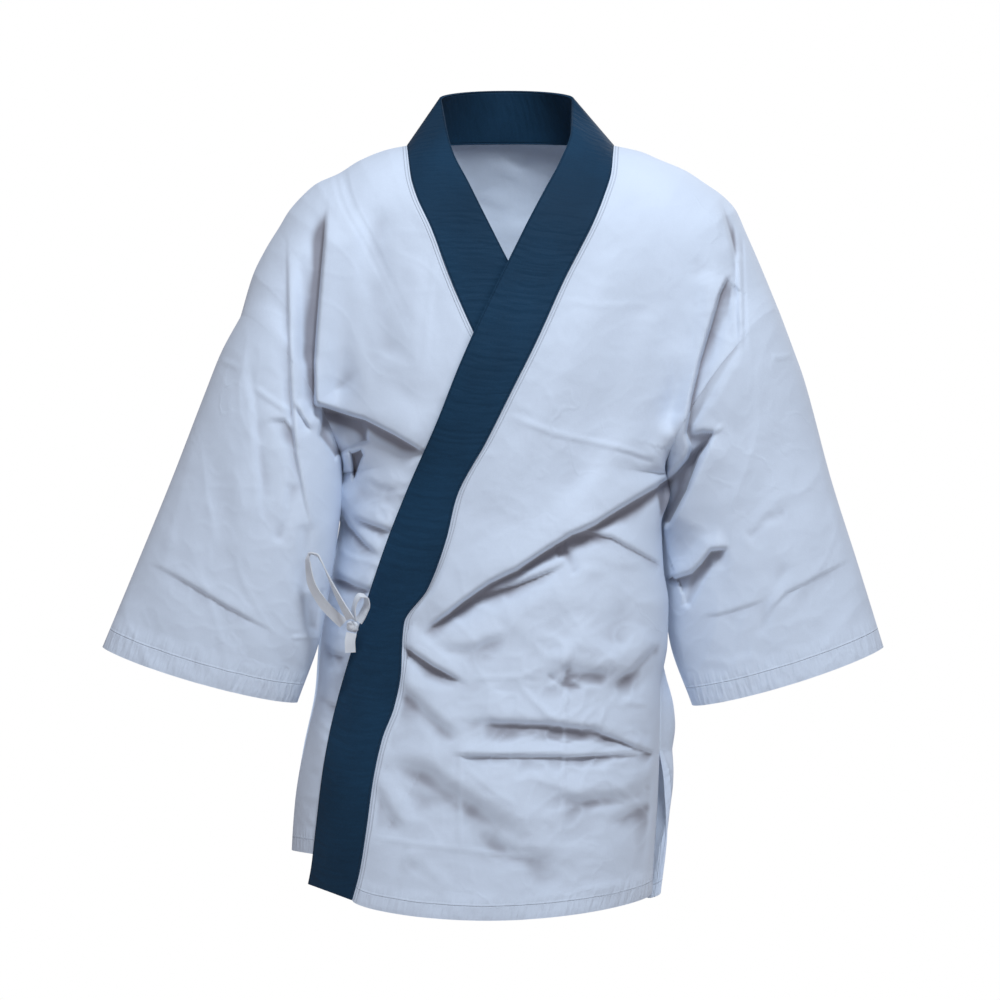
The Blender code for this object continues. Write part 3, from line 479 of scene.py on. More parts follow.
# ------------------------------------------------------------------ helpers
def grid_mesh(name, P, thick, wrap=False, mat=None, square=(), marks=None):
    """Closed thin cloth piece from a grid of points, with crisp rims."""
    V, F = shell(P, thick, wrap, square)
    me = bpy.data.meshes.new(name)
    V = np.ascontiguousarray(V, dtype=np.float32)
    F = np.ascontiguousarray(F, dtype=np.int32)
    me.vertices.add(len(V))
    me.vertices.foreach_set("co", V.ravel())
    me.loops.add(F.size)
    me.loops.foreach_set("vertex_index", F.ravel())
    me.polygons.add(len(F))
    me.polygons.foreach_set("loop_start", np.arange(0, F.size, 4, dtype=np.int32))
    me.polygons.foreach_set("use_smooth", np.ones(len(F), dtype=bool))
    me.update(calc_edges=True)
    r, c = P.shape[:2]
    rim = np.zeros((r, c), bool)
    rim[0] = rim[-1] = True
    if not wrap:
        rim[:, 0] = rim[:, -1] = True
    rim2 = np.r_[rim.ravel(), rim.ravel()]
    e = np.empty(len(me.edges) * 2, dtype=np.int32)
    me.edges.foreach_get("vertices", e)
    e = e.reshape(-1, 2)
    same = (e[:, 0] < r * c) == (e[:, 1] < r * c)
    sharp = rim2[e[:, 0]] & rim2[e[:, 1]] & same
    at = me.attributes.new("sharp_edge", "BOOLEAN", "EDGE")
    at.data.foreach_set("value", sharp)
    # distances in mm from a sewn edge and along it, and the depth of the fold valleys that sets the painted shade, read
    # by the cloth's material
    for key in ("hem", "run", "side", "rise", "band", "painted_shade_depth"):
        val = np.full(P.shape[:2], 0.0 if key == "painted_shade_depth" else 900.0) if marks is None or key not in marks else marks[key]
        at = me.attributes.new(key, "FLOAT", "POINT")
        at.data.foreach_set("value", np.r_[val.ravel(), val.ravel()].astype(np.float32))
    me.validate()
    ob = bpy.data.objects.new(name, me)
    bpy.context.scene.collection.objects.link(ob)
    bm = bmesh.new()
    bm.from_mesh(me)
    if bm.calc_volume(signed=True) < 0:
        bmesh.ops.reverse_faces(bm, faces=bm.faces[:])
        bm.to_mesh(me)
    bm.free()
    if mat:
        me.materials.append(mat)
    return ob


def arc(P, axis, back=False):
    """Length along the cloth (mm) from a grid's first row or column, or from its last."""
    Q = np.moveaxis(P, axis, 0)
    d = np.linalg.norm(np.diff(Q, axis=0), axis=-1) * 1000.0
    L = np.concatenate([np.zeros_like(d[:1]), np.cumsum(d, 0)])
    if back:
        L = L[-1:] - L
    return np.moveaxis(L, 0, axis)


def area_of(P, wrap=False):
    Q = np.concatenate([P, P[:, :1]], 1) if wrap else P
    a = Q[1:, :-1] - Q[:-1, :-1]
    b = Q[:-1, 1:] - Q[:-1, :-1]
    return float(np.linalg.norm(np.cross(a, b), axis=-1).sum())


def lumps(X, Z, seed, size, stretch=(1.0, 1.0), angle=0.0):
    """Smooth noise over the cloth, -1..1, lumps of the given size in mm, drawn out along an angle."""
    c, s = np.cos(angle), np.sin(angle)
    a = (X * c + Z * s) / (size * stretch[0])
    b = (-X * s + Z * c) / (size * stretch[1])
    out = np.empty(a.shape)
    fa, fb, fo = a.ravel(), b.ravel(), out.ravel()
    for i in range(fa.size):
        fo[i] = noise.noise((fa[i], fb[i], seed * 7.31))
    return fo.reshape(a.shape)


def fold(X, Z, path, height, lit, shade, drop, start=0.30, end=0.30):
    """Fold with a rounded back on the left of travel and a steep face on the right, which falls to
    -drop and then comes back slowly.  start and end: fractions of the path over which it dies away."""
    t, sign, f = reach(X, Z, path)
    ends = (step(f, 0.0, start) if start else 1.0) * ((1 - step(f, 1 - end, 1.0)) if end else 1.0)
    if not start or not end:
        # an end left open still dies away beyond its own tip
        ends = ends * np.where((f <= 0.0) | (f >= 1.0), np.exp(-(t / 9.0) ** 2), 1.0)
    d = t * sign
    hi = height * np.exp(-(np.maximum(d, 0) / lit) ** 2)
    m = np.maximum(-d, 0)
    lo = height * (1 - step(m, 0, shade)) - drop * step(m, 0, shade) * np.exp(-(m / (2.6 * shade + 7.0)) ** 2)
    return np.where(d >= 0, hi, lo) * ends


def ridges(X, Z, seed, size, stretch=(1.0, 1.0), angle=0.0, sharp=3.0):
    """Handling creases: rounded crests along the zero lines of a noise, 0..1."""
    n = np.abs(lumps(X, Z, seed, size, stretch, angle))
    return (1 - np.minimum(1, n * sharp)) ** 2


def crease(X, Z, path, height, width):
    """Narrow ridge (height > 0) or groove along a path, dying away at both ends."""
    t, sign, f = reach(X, Z, path)
    ends = step(f, 0.0, 0.15) * (1 - step(f, 0.85, 1.0))
    return height * np.exp(-(t / width) ** 2) * ends


def pit(X, Z, poly, depth, edge):
    """Sunk patch with convex outline poly, its sides sloping over edge mm."""
    p = np.asarray(poly, float)
    if np.sum(p[:, 0] * np.roll(p[:, 1], -1) - p[:, 1] * np.roll(p[:, 0], -1)) < 0:
        p = p[::-1]
    d = np.full(np.shape(X), 1e9)
    for k in range(len(p)):
        a, b = p[k], p[(k + 1) % len(p)]
        n = np.array([a[1] - b[1], b[0] - a[0]]) / np.hypot(*(b - a))
        d = np.minimum(d, (X - a[0]) * n[0] + (Z - a[1]) * n[1])
    return -depth * step(d, -edge * 0.3, edge)


def hollows(H, reach=5, wrap=False):
    """Depth (mm) of the cloth below the smoothed height around it: the valleys beside the folds, darkened by the
    material as painted shade.
    """
    B = H
    for _ in range(3):
        for axis in (0, 1):
            pad = [(0, 0), (0, 0)]
            pad[axis] = (reach, reach)
            Q = np.pad(B, pad, mode="wrap" if wrap and axis == 1 else "edge")
            S = np.cumsum(Q, axis=axis)
            S = np.concatenate([np.zeros_like(np.take(S, [0], axis=axis)), S], axis=axis)
            n = B.shape[axis]
            B = (np.take(S, np.arange(n) + 2 * reach + 1, axis=axis) - np.take(S, np.arange(n), axis=axis)) / (2 * reach + 1)
    return B - H


def lift(X, Z, folds=(), creases=(), troughs=(), pits=()):
    H = np.zeros(np.shape(X))
    for row in folds:
        H = H + fold(X, Z, *row)
    for path, h, w in list(creases) + list(troughs):
        H = H + crease(X, Z, path, h, w)
    for row in pits:
        H = H + pit(X, Z, *row)
    return H


# ---------------------------------------------------------------- materials
def cloth_material(name, colour, rough, sheen, spec, weave, bump, mottle=0.05, twill=False, sewn=(), wrinkle=0.0, edge_light=0.0, shade=0.0):
    """Woven cloth.  sewn: rows of (edge distance, run, stitch lines in mm, turned width in mm, pucker)."""
    m = bpy.data.materials.new(name)
    m.use_nodes = True
    nt = m.node_tree
    new, link = nt.nodes.new, nt.links.new
    b = nt.nodes["Principled BSDF"]
    b.inputs["Roughness"].default_value = rough
    b.inputs["Sheen Weight"].default_value = sheen
    b.inputs["Sheen Roughness"].default_value = 0.5
    b.inputs["Specular IOR Level"].default_value = spec
    tc = new("ShaderNodeTexCoord")

    def M(op, *args):
        n = new("ShaderNodeMath")
        n.operation = op
        for i, v in enumerate(args):
            if isinstance(v, (int, float)):
                n.inputs[i].default_value = v
            else:
                link(v, n.inputs[i])
        return n.outputs[0]

    def ramp(v, a, b_, lo=0.0, hi=1.0):
        n = new("ShaderNodeMapRange")
        n.interpolation_type = "SMOOTHSTEP"
        link(v, n.inputs["Value"])
        for key, q in (("From Min", a), ("From Max", b_), ("To Min", lo), ("To Max", hi)):
            n.inputs[key].default_value = q
        return n.outputs[0]

    def noise_at(scale, detail, vec=None, rough_=0.5):
        n = new("ShaderNodeTexNoise")
        n.inputs["Scale"].default_value = scale
        n.inputs["Detail"].default_value = detail
        n.inputs["Roughness"].default_value = rough_
        link(vec if vec is not None else tc.outputs["Object"], n.inputs["Vector"])
        return n.outputs["Fac"]

    def mark(key):
        n = new("ShaderNodeAttribute")
        n.attribute_name = key
        return n.outputs["Fac"]

    def bumped(h, strength, dist, under=None):
        n = new("ShaderNodeBump")
        n.inputs["Strength"].default_value = strength
        n.inputs["Distance"].default_value = dist
        link(h, n.inputs["Height"])
        if under is not None:
            link(under, n.inputs["Normal"])
        return n.outputs["Normal"]

    # faint blotches and thread to thread variation
    fac = ramp(M("ADD", noise_at(9.0, 4.0), M("MULTIPLY", noise_at(900.0, 2.0), 0.35)), 0.45, 0.95)
    mix = new("ShaderNodeMix")
    mix.data_type = "RGBA"
    mix.inputs["A"].default_value = (*[c * (1 - mottle) for c in colour], 1)
    mix.inputs["B"].default_value = (*[min(1, c * (1 + mottle)) for c in colour], 1)
    # weave: crossed fine waves
    waves = []
    for direction in ("DIAGONAL" if twill else "X", "Z"):
        w = new("ShaderNodeTexWave")
        w.wave_type = "BANDS"
        w.bands_direction = direction
        w.inputs["Scale"].default_value = weave
        w.inputs["Distortion"].default_value = 1.2
        w.inputs["Detail"].default_value = 1.0
        link(tc.outputs["Object"], w.inputs["Vector"])
        waves.append(w.outputs["Fac"])
    normal = bumped(M("MULTIPLY" if twill else "ADD", *waves), bump, 0.00022)
    normal = bumped(noise_at(170.0, 5.0), bump * 0.6, 0.0008, normal)
    if wrinkle:
        # small irregular handling creases: the sharp crests of a folded-over noise
        wide = noise_at(15.0, 3.0, None, 0.45)
        crest = M("SUBTRACT", 1.0, ramp(M("ABSOLUTE", M("SUBTRACT", wide, 0.5)), 0.0, 0.030))
        where = ramp(noise_at(6.0, 1.0), 0.50, 0.66)
        normal = bumped(M("MULTIPLY", crest, where), wrinkle, 0.0006, normal)
        normal = bumped(noise_at(42.0, 3.0, None, 0.5), wrinkle * 0.8, 0.0016, normal)
    dark = None
    for key, run, lines, width, pucker in sewn:
        d, r = mark(key), mark(run)
        for line in lines:
            near = M("SUBTRACT", 1.0, ramp(M("ABSOLUTE", M("SUBTRACT", d, line)), 0.0, 0.75))
            dash = ramp(M("SINE", M("MULTIPLY", r, 2.1)), -0.5, 0.2, 0.35, 1.0)
            stitch = M("MULTIPLY", near, dash)
            dark = stitch if dark is None else M("MAXIMUM", dark, stitch)
            normal = bumped(M("SUBTRACT", 1.0, near), 0.8, 0.0007, normal)
        if pucker:
            # drawn-up cloth beside the stitching
            comb = new("ShaderNodeCombineXYZ")
            link(M("MULTIPLY", r, 0.17), comb.inputs["X"])
            link(M("MULTIPLY", d, 0.035), comb.inputs["Y"])
            n = noise_at(1.0, 2.0, comb.outputs[0], 0.4)
            fade = M("SUBTRACT", 1.0, ramp(M("ABSOLUTE", M("SUBTRACT", d, lines[-1] * 0.75)), width * 0.30, width * 1.15))
            normal = bumped(M("MULTIPLY", n, fade), pucker, 0.0028, normal)
        if width:
            # the turned edge is double cloth, a little proud
            normal = bumped(ramp(d, width - 0.8, width + 1.2, 1.0, 0.0), 0.7, 0.0006, normal)
            if edge_light:
                fac = M("ADD", fac, ramp(d, width - 1.0, width + 1.5, edge_light, 0.0))
    link(fac, mix.inputs["Factor"])
    out = mix.outputs["Result"]
    if dark is not None:
        mul = new("ShaderNodeMix")
        mul.data_type = "RGBA"
        link(M("MULTIPLY", dark, 0.20), mul.inputs["Factor"])
        link(out, mul.inputs["A"])
        mul.inputs["B"].default_value = (*[c * 0.45 for c in colour], 1)
        out = mul.outputs["Result"]
    if shade:
        # painted shade: in the valleys between the folds the cloth's colour is darkened towards a warm grey, standing
        # in for their shadow
        mul = new("ShaderNodeMix")
        mul.data_type = "RGBA"
        link(ramp(mark("painted_shade_depth"), 0.3, 4.8, 0.0, shade), mul.inputs["Factor"])
        link(out, mul.inputs["A"])
        mul.inputs["B"].default_value = (colour[0] * 0.36, colour[1] * 0.31, colour[2] * 0.31, 1)
        out = mul.outputs["Result"]
    link(out, b.inputs["Base Color"])
    link(normal, b.inputs["Normal"])
    return m


HEMS = (("hem", "run", (13.5,), 15.0, 0.8), ("side", "rise", (8.0,), 9.0, 0.4), ("band", "rise", (2.6, 5.4), 0.0, 0.0))
CUFF = (("hem", "run", (19.0,), 20.5, 1.0),)
CLOTH = (0.695, 0.785, 0.925)
# shade: how strongly the fold valleys are darkened as painted shade
WHITE = cloth_material("shirting", CLOTH, 0.82, 0.08, 0.20, 620.0, 0.13, 0.030, sewn=HEMS, wrinkle=0.45, edge_light=0.5, shade=0.85)
WHITE_SLEEVE = cloth_material("shirting_sleeve", CLOTH, 0.82, 0.08, 0.20, 620.0, 0.13, 0.030, sewn=CUFF, wrinkle=0.30, edge_light=0.9, shade=0.72)
NAVY = cloth_material("navy_twill", (0.0085, 0.0400, 0.0860), 0.72, 0.02, 0.14, 420.0, 0.10, 0.22, twill=True,
                      sewn=(("band", "rise", (1.6,), 0.0, 0.5),), wrinkle=0.35)
TAPE = cloth_material("tape", (0.78, 0.82, 0.88), 0.70, 0.12, 0.30, 800.0, 0.35, 0.03, sewn=(("band", "rise", (0.9,), 0.0, 0.0),), wrinkle=0.35)

# ------------------------------------------------------------------- camera
cam_data = bpy.data.cameras.new("camera")
cam = bpy.data.objects.new("camera", cam_data)
bpy.context.scene.collection.objects.link(cam)
cam.location = (SIGHT_X / 1000, -SIGHT_D / 1000, SIGHT_Z / 1000)
cam.rotation_euler = (math.radians(90), 0, 0)
cam_data.sensor_width = 36.0
cam_data.lens = 36.0 * SIGHT_D / 1000.0
cam_data.clip_start = 0.05
cam_data.clip_end = 60.0
bpy.context.scene.camera = cam

# -------------------------------------------------------------------- folds
def under_drop(X, Z):
    """The under layer sinks only as it goes in beneath the band."""
    t, sign, _ = reach(X, Z, FREE_OUTER)
    d = np.where(sign > 0, t, -t)
    return 15.0 * step(d, -10.0, 32.0)


# Folds: path, height, width of the lit side, width of the shaded side, drop beyond it (mm), dying away at start, end
FOLDS_OUTER = [
    # the long pull from the underarm to the tie
    ([(-95.0, -489.0), (-80.0, -474.0), (-49.0, -450.0), (-22.0, -431.0), (5.0, -418.0), (35.0, -398.0), (60.0, -383.0), (84.0, -372.0), (108.0, -357.0), (151.0, -331.0), (176.0, -311.0)], 12.0, 34.0, 7.0, 6.0, 0.16, 0.08),
    # its lip, and the folds under it
    ([(-36.0, -446.0), (5.0, -434.0), (42.0, -419.0), (60.0, -410.0)], 3.4, 9.0, 5.0, 3.4),
    ([(50.0, -383.0), (84.0, -384.0), (102.0, -387.0), (120.0, -397.0), (152.0, -415.0)], 3.0, 12.0, 3.2, 2.4, 0.25, 0.0),
    # below the tie
    ([(-108.0, -493.0), (-90.0, -505.0), (-74.0, -516.0), (-36.0, -536.0)], 5.9, 16.0, 5.0, 5.4, 0.0, 0.45),
    ([(-114.0, -524.0), (-85.0, -549.0), (-40.0, -589.0)], 4.5, 24.0, 16.0, 4.1, 0.0, 0.3),
    ([(-126.0, -588.0), (-80.0, -608.0), (-40.0, -638.0), (2.0, -662.0), (50.0, -690.0)], 5.9, 40.0, 26.0, 6.1, 0.35, 0.35),
    ([(-58.0, -566.0), (-10.0, -569.0), (48.0, -571.0), (130.0, -581.0)], 5.2, 20.0, 10.0, 4.7, 0.35, 0.35),
    ([(-62.0, -605.0), (-10.0, -606.0), (70.0, -606.0), (145.0, -604.0)], 4.2, 10.0, 3.0, 2.2, 0.12, 0.2),
    ([(90.0, -538.0), (118.0, -518.0), (148.0, -486.0)], 5.2, 18.0, 10.0, 4.1, 0.35, 0.2),
    ([(30.0, -502.0), (65.0, -514.0), (94.0, -514.0), (124.0, -498.0)], 4.4, 26.0, 18.0, 4.6, 0.4, 0.4),
    ([(30.0, -628.0), (70.0, -641.0), (112.0, -638.0), (150.0, -612.0)], 4.9, 20.0, 18.0, 5.4, 0.4, 0.3),
    ([(80.0, -580.0), (112.0, -590.0), (147.0, -604.0)], 4.2, 9.0, 5.0, 3.8, 0.3, 0.1),
    ([(-134.0, -622.0), (-118.0, -652.0), (-96.0, -684.0)], 3.1, 14.0, 14.0, 2.7),
    ([(-80.0, -492.0), (-40.0, -492.0), (0.0, -478.0)], 3.1, 20.0, 14.0, 3.0),
    ([(-40.0, -664.0), (10.0, -694.0), (65.0, -702.0)], 3.9, 26.0, 20.0, 4.1, 0.4, 0.4),
    ([(90.0, -672.0), (115.0, -658.0), (142.0, -648.0)], 3.1, 18.0, 12.0, 3.2, 0.4, 0.2),
    ([(46.0, -552.0), (50.0, -522.0), (65.0, -492.0)], 3.1, 12.0, 8.0, 2.7, 0.4, 0.4),
]
CREASES_OUTER = [
    ([(-5.0, -266.0), (20.0, -276.0), (46.0, -286.0), (75.0, -292.0), (103.0, -298.0), (145.0, -311.0)], 1.4, 3.0),
    ([(102.0, -302.0), (122.0, -307.0), (145.0, -316.0)], -1.2, 3.5),
    ([(-40.0, -531.0), (-10.0, -529.0), (36.0, -528.0)], 1.0, 2.2),
    ([(35.0, -524.0), (50.0, -536.0), (74.0, -540.0)], -1.6, 2.6),
    ([(38.0, -542.0), (52.0, -528.0), (72.0, -522.0)], 1.2, 2.6),
    ([(-147.0, -687.0), (-100.0, -695.0), (-51.0, -701.0), (-5.0, -706.0), (37.0, -709.0)], 1.0, 2.4),
    ([(-50.0, -597.0), (-50.0, -642.0), (-50.0, -702.0)], 0.9, 2.4),
    ([(56.0, -524.0), (54.0, -582.0), (53.0, -642.0), (50.0, -708.0)], 1.1, 2.4),
    ([(30.0, -588.0), (56.0, -594.0), (80.0, -588.0)], -0.9, 2.4),
    ([(-106.0, -702.0), (-80.0, -722.0), (-58.0, -742.0)], 1.4, 7.0),
    ([(110.0, -552.0), (126.0, -556.0), (142.0, -552.0)], 1.0, 3.0),
    ([(50.0, -152.0), (90.0, -158.0), (140.0, -156.0)], 0.5, 3.0),
]
TROUGHS_OUTER = [
    ([(145.0, -122.0), (118.0, -192.0), (90.0, -272.0), (50.0, -352.0), (-10.0, -412.0)], -3.2, 20.0),
    ([(110.0, -82.0), (86.0, -152.0), (56.0, -222.0), (20.0, -292.0), (-30.0, -372.0)], 2.2, 16.0),
    ([(180.0, -182.0), (150.0, -252.0), (100.0, -322.0), (30.0, -382.0)], 2.6, 15.0),
    ([(190.0, -102.0), (184.0, -182.0), (162.0, -272.0)], -3.0, 13.0),
    ([(80.0, -412.0), (78.0, -462.0), (70.0, -507.0)], 2.2, 13.0),
    ([(54.0, -402.0), (60.0, -414.0), (67.0, -427.0)], -3.0, 6.0),
    ([(120.0, -412.0), (112.0, -462.0), (100.0, -502.0)], -2.2, 13.0),
    ([(-10.0, -482.0), (30.0, -452.0), (90.0, -442.0)], 2.0, 18.0),
    ([(-80.0, -552.0), (-86.0, -612.0), (-92.0, -652.0)], 1.8, 14.0),
    ([(-90.0, -612.0), (-98.0, -672.0), (-106.0, -732.0)], -2.4, 18.0),
    ([(90.0, -652.0), (100.0, -702.0), (102.0, -752.0)], 2.4, 20.0),
    ([(10.0, -722.0), (70.0, -732.0), (130.0, -722.0)], -1.8, 16.0),
    ([(-10.0, -542.0), (-12.0, -558.0), (-18.0, -572.0)], 1.6, 8.0),
    ([(130.0, -642.0), (130.0, -682.0), (126.0, -732.0)], -2.2, 9.0),
]
PITS_OUTER = [([(42.0, -396.0), (57.0, -391.0), (58.0, -405.0), (48.0, -412.0)], 3.0, 4.0)]
# shared by the left front and the left sleeve, so that their seam stays closed
SHARED_L = dict(folds=[
    ([(154.0, -330.0), (165.0, -322.0), (175.0, -309.0), (177.0, -298.0), (173.0, -285.0), (178.0, -251.0), (187.0, -212.0), (196.0, -182.0), (207.0, -145.0), (214.0, -129.0), (223.0, -123.0)], 8.0, 24.0, 5.0, 7.0, 0.22, 0.12),
    ([(225.0, -120.0), (219.0, -96.0), (211.0, -68.0), (204.0, -45.0)], 4.0, 14.0, 5.0, 3.0),
    ([(178.0, -286.0), (192.0, -281.0), (204.0, -283.0), (214.0, -278.0)], 3.0, 9.0, 4.0, 2.5),
    ([(216.0, -272.0), (203.0, -292.0), (191.0, -309.0), (179.0, -345.0), (165.0, -372.0), (158.0, -388.0)], 8.0, 22.0, 5.0, 6.0, 0.30, 0.2),
], creases=[
    ([(222.0, -70.0), (225.0, -124.0), (228.0, -200.0)], -2.0, 2.4),
    ([(231.0, -73.0), (235.0, -182.0), (234.0, -208.0)], -1.8, 2.2),
    ([(261.0, -210.0), (272.0, -209.0), (282.0, -206.0)], 1.2, 2.6),
    ([(228.0, -102.0), (231.0, -142.0), (232.0, -182.0)], 1.6, 4.0),
], troughs=[], pits=[
    ([(198.0, -186.0), (221.0, -136.0), (232.0, -202.0), (206.0, -252.0), (182.0, -278.0)], 4.0, 9.0),
    ([(148.0, -336.0), (180.0, -304.0), (203.0, -290.0), (180.0, -342.0), (162.0, -376.0), (148.0, -382.0)], 13.0, 7.0),
])
FOLDS_UNDER = [
    ([(-160.0, -364.0), (-138.0, -373.0), (-114.0, -382.0)], 4.0, 12.0, 5.0, 3.5),
    ([(-168.0, -356.0), (-158.0, -376.0), (-144.0, -392.0), (-126.0, -408.0)], 3.6, 12.0, 5.0, 3.5),
    ([(-184.0, -422.0), (-162.0, -429.0), (-136.0, -440.0)], 5.0, 16.0, 7.0, 5.0, 0.0, 0.15),
    ([(-194.0, -542.0), (-180.0, -552.0), (-165.0, -558.0)], 2.4, 9.0, 5.0, 2.4),
    ([(-150.0, -322.0), (-126.0, -334.0), (-106.0, -339.0)], 2.0, 14.0, 10.0, 2.0),
    ([(-188.0, -492.0), (-176.0, -502.0), (-160.0, -507.0)], 2.6, 9.0, 5.0, 3.0),
]
CREASES_UNDER = [
    ([(-70.0, -82.0), (-80.0, -152.0), (-86.0, -222.0)], 0.6, 4.0),
    ([(-205.0, -572.0), (-190.0, -587.0), (-180.0, -597.0)], 1.2, 4.0),
    ([(-212.0, -652.0), (-204.0, -667.0), (-194.0, -678.0)], 1.2, 4.0),
    ([(-208.0, -612.0), (-198.0, -624.0), (-188.0, -628.0)], -1.4, 4.0),
]
TROUGHS_UNDER = [
    ([(-155.0, -42.0), (-158.0, -122.0), (-154.0, -202.0), (-138.0, -262.0)], 3.0, 12.0),
    ([(-130.0, -52.0), (-128.0, -142.0), (-118.0, -222.0)], -2.6, 13.0),
    ([(-95.0, -102.0), (-94.0, -172.0), (-90.0, -252.0)], 2.0, 12.0),
    ([(-175.0, -517.0), (-185.0, -552.0), (-192.0, -612.0)], 2.4, 8.0),
]
PITS_UNDER = [([(-161.0, -304.0), (-148.0, -299.0), (-145.0, -307.0), (-156.0, -334.0)], 15.0, 3.5)]
SHARED_R = dict(folds=[
    # the chest hangs over at the armpit
    ([(-180.0, -57.0), (-185.0, -112.0), (-190.0, -172.0), (-193.0, -214.0), (-192.0, -254.0), (-168.0, -262.0), (-142.0, -270.0), (-115.0, -284.0), (-89.0, -299.0), (-58.0, -313.0)], 11.0, 28.0, 4.5, 9.0, 0.12, 0.12),
    # the line that runs from the shoulder down into the sleeve
    ([(-221.0, -75.0), (-219.0, -182.0), (-217.0, -238.0), (-212.0, -305.0), (-202.0, -359.0), (-192.0, -400.0)], 4.0, 12.0, 4.0, 3.0),
    ([(-215.0, -252.0), (-205.0, -269.0), (-195.0, -284.0)], 4.0, 9.0, 3.5, 3.0),
], creases=[
    ([(-257.0, -239.0), (-240.0, -251.0), (-218.0, -266.0)], 1.6, 3.0),
], troughs=[
    ([(-210.0, -102.0), (-207.0, -152.0), (-203.0, -222.0)], -3.0, 8.0),
], pits=[
    ([(-188.0, -257.0), (-144.0, -271.0), (-140.0, -294.0), (-176.0, -312.0), (-193.0, -288.0)], 9.0, 5.0),
])
FOLDS_BACK = [
    ([(-210.0, -92.0), (-188.0, -182.0), (-165.0, -272.0), (-154.0, -332.0)], 6.0, 22.0, 14.0, 4.0),
    ([(162.0, -332.0), (180.0, -272.0), (202.0, -192.0), (220.0, -102.0)], 6.0, 22.0, 14.0, 4.0),
    ([(-165.0, -352.0), (-110.0, -412.0), (-40.0, -442.0), (50.0, -442.0), (140.0, -392.0)], 7.0, 34.0, 13.0, 5.0),
    ([(-170.0, -492.0), (-90.0, -524.0), (10.0, -520.0), (90.0, -502.0)], 5.0, 24.0, 12.0, 4.0),
    ([(-180.0, -592.0), (-80.0, -604.0), (50.0, -588.0), (140.0, -552.0)], 5.0, 26.0, 14.0, 3.5),
    ([(-150.0, -652.0), (-60.0, -672.0), (10.0, -664.0)], 3.5, 18.0, 12.0, 3.0),
    ([(50.0, -232.0), (90.0, -272.0), (140.0, -292.0)], 3.5, 18.0, 9.0, 3.0),
    ([(-150.0, -282.0), (-110.0, -282.0), (-70.0, -252.0)], 3.5, 18.0, 9.0, 3.0),
]
CREASES_BACK = [
    ([(-5.0, -32.0), (-4.0, -252.0), (-5.0, -472.0), (-5.0, -712.0)], 0.8, 2.4),
    ([(-160.0, -182.0), (-10.0, -188.0), (180.0, -182.0)], 0.8, 2.4),
    ([(-165.0, -452.0), (-10.0, -458.0), (145.0, -452.0)], 0.8, 2.4),
]
TROUGHS_BACK = [
    ([(-5.0, -22.0), (-2.0, -152.0), (-10.0, -272.0), (-12.0, -412.0)], -4.0, 26.0),
    ([(-110.0, -52.0), (-100.0, -172.0), (-90.0, -302.0)], 3.0, 20.0),
    ([(100.0, -52.0), (90.0, -182.0), (75.0, -302.0)], 3.0, 20.0),
    ([(-70.0, -452.0), (-80.0, -552.0), (-90.0, -712.0)], 4.0, 18.0),
    ([(30.0, -472.0), (42.0, -572.0), (50.0, -722.0)], -4.0, 22.0),
    ([(110.0, -492.0), (118.0, -592.0), (122.0, -712.0)], 3.0, 16.0),
    ([(-150.0, -472.0), (-160.0, -572.0), (-170.0, -682.0)], 3.0, 16.0),
]
FOLDS_SLEEVE_R = [
    ([(-367.0, -410.0), (-330.0, -428.0), (-285.0, -455.0), (-232.0, -485.0)], 2.0, 10.0, 3.0, 1.4),
    ([(-253.0, -397.0), (-257.0, -322.0), (-264.0, -252.0), (-275.0, -190.0)], 2.6, 40.0, 12.0, 1.6),
    ([(-252.0, -276.0), (-238.0, -270.0), (-224.0, -270.0), (-217.0, -280.0), (-212.0, -304.0)], 2.4, 9.0, 4.0, 2.2, 0.45, 0.3),
]
CREASES_SLEEVE_R = [
    ([(-220.0, -490.0), (-205.0, -489.0), (-190.0, -490.0)], 1.2, 2.0),
    ([(-290.0, -211.0), (-280.0, -216.0), (-269.0, -221.0)], 1.2, 2.6),
    ([(-234.0, -397.0), (-222.0, -372.0), (-218.0, -332.0)], -2.0, 7.0),
    ([(-208.0, -452.0), (-202.0, -412.0), (-204.0, -372.0)], -2.6, 9.0),
    ([(-314.0, -282.0), (-330.0, -352.0), (-350.0, -432.0)], 0.8, 5.0),
    ([(-278.0, -412.0), (-272.0, -352.0), (-266.0, -292.0)], 1.2, 9.0),
]
PITS_SLEEVE_R = [([(-208.0, -448.0), (-184.0, -440.0), (-188.0, -492.0), (-206.0, -482.0)], 4.0, 9.0)]
FOLDS_SLEEVE_L = [
    ([(253.0, -476.0), (264.0, -456.0), (276.0, -443.0), (294.0, -434.0), (316.0, -423.0), (346.0, -406.0)], 1.6, 14.0, 2.6, 1.1),
    ([(166.0, -427.0), (180.0, -422.0), (190.0, -412.0), (199.0, -400.0), (220.0, -397.0)], 6.5, 12.0, 5.0, 6.0, 0.0, 0.2),
    ([(190.0, -468.0), (210.0, -465.0), (230.0, -459.0), (260.0, -449.0)], 1.1, 8.0, 2.2, 0.8),
]
CREASES_SLEEVE_L = [
    ([(278.0, -364.0), (256.0, -372.0), (235.0, -392.0)], -1.6, 6.0),
    ([(250.0, -492.0), (258.0, -452.0), (280.0, -412.0)], -1.4, 7.0),
    ([(305.0, -282.0), (320.0, -352.0), (336.0, -412.0)], 0.8, 5.0),
    ([(190.0, -512.0), (220.0, -516.0), (250.0, -507.0)], 0.9, 5.0),
    ([(274.0, -482.0), (290.0, -472.0), (314.0, -468.0)], 0.7, 5.0),
]
PITS_SLEEVE_L = [([(180.0, -430.0), (198.0, -408.0), (204.0, -418.0), (182.0, -460.0), (171.0, -458.0)], 3.0, 6.0)]


# ------------------------------------------------------------------- panels
def even(n_top, n_low, power=1.2):
    return np.r_[UNDERARM * np.linspace(0, 1, n_top) ** power, UNDERARM + (1 - UNDERARM) * np.linspace(0, 1, n_low)[1:]]


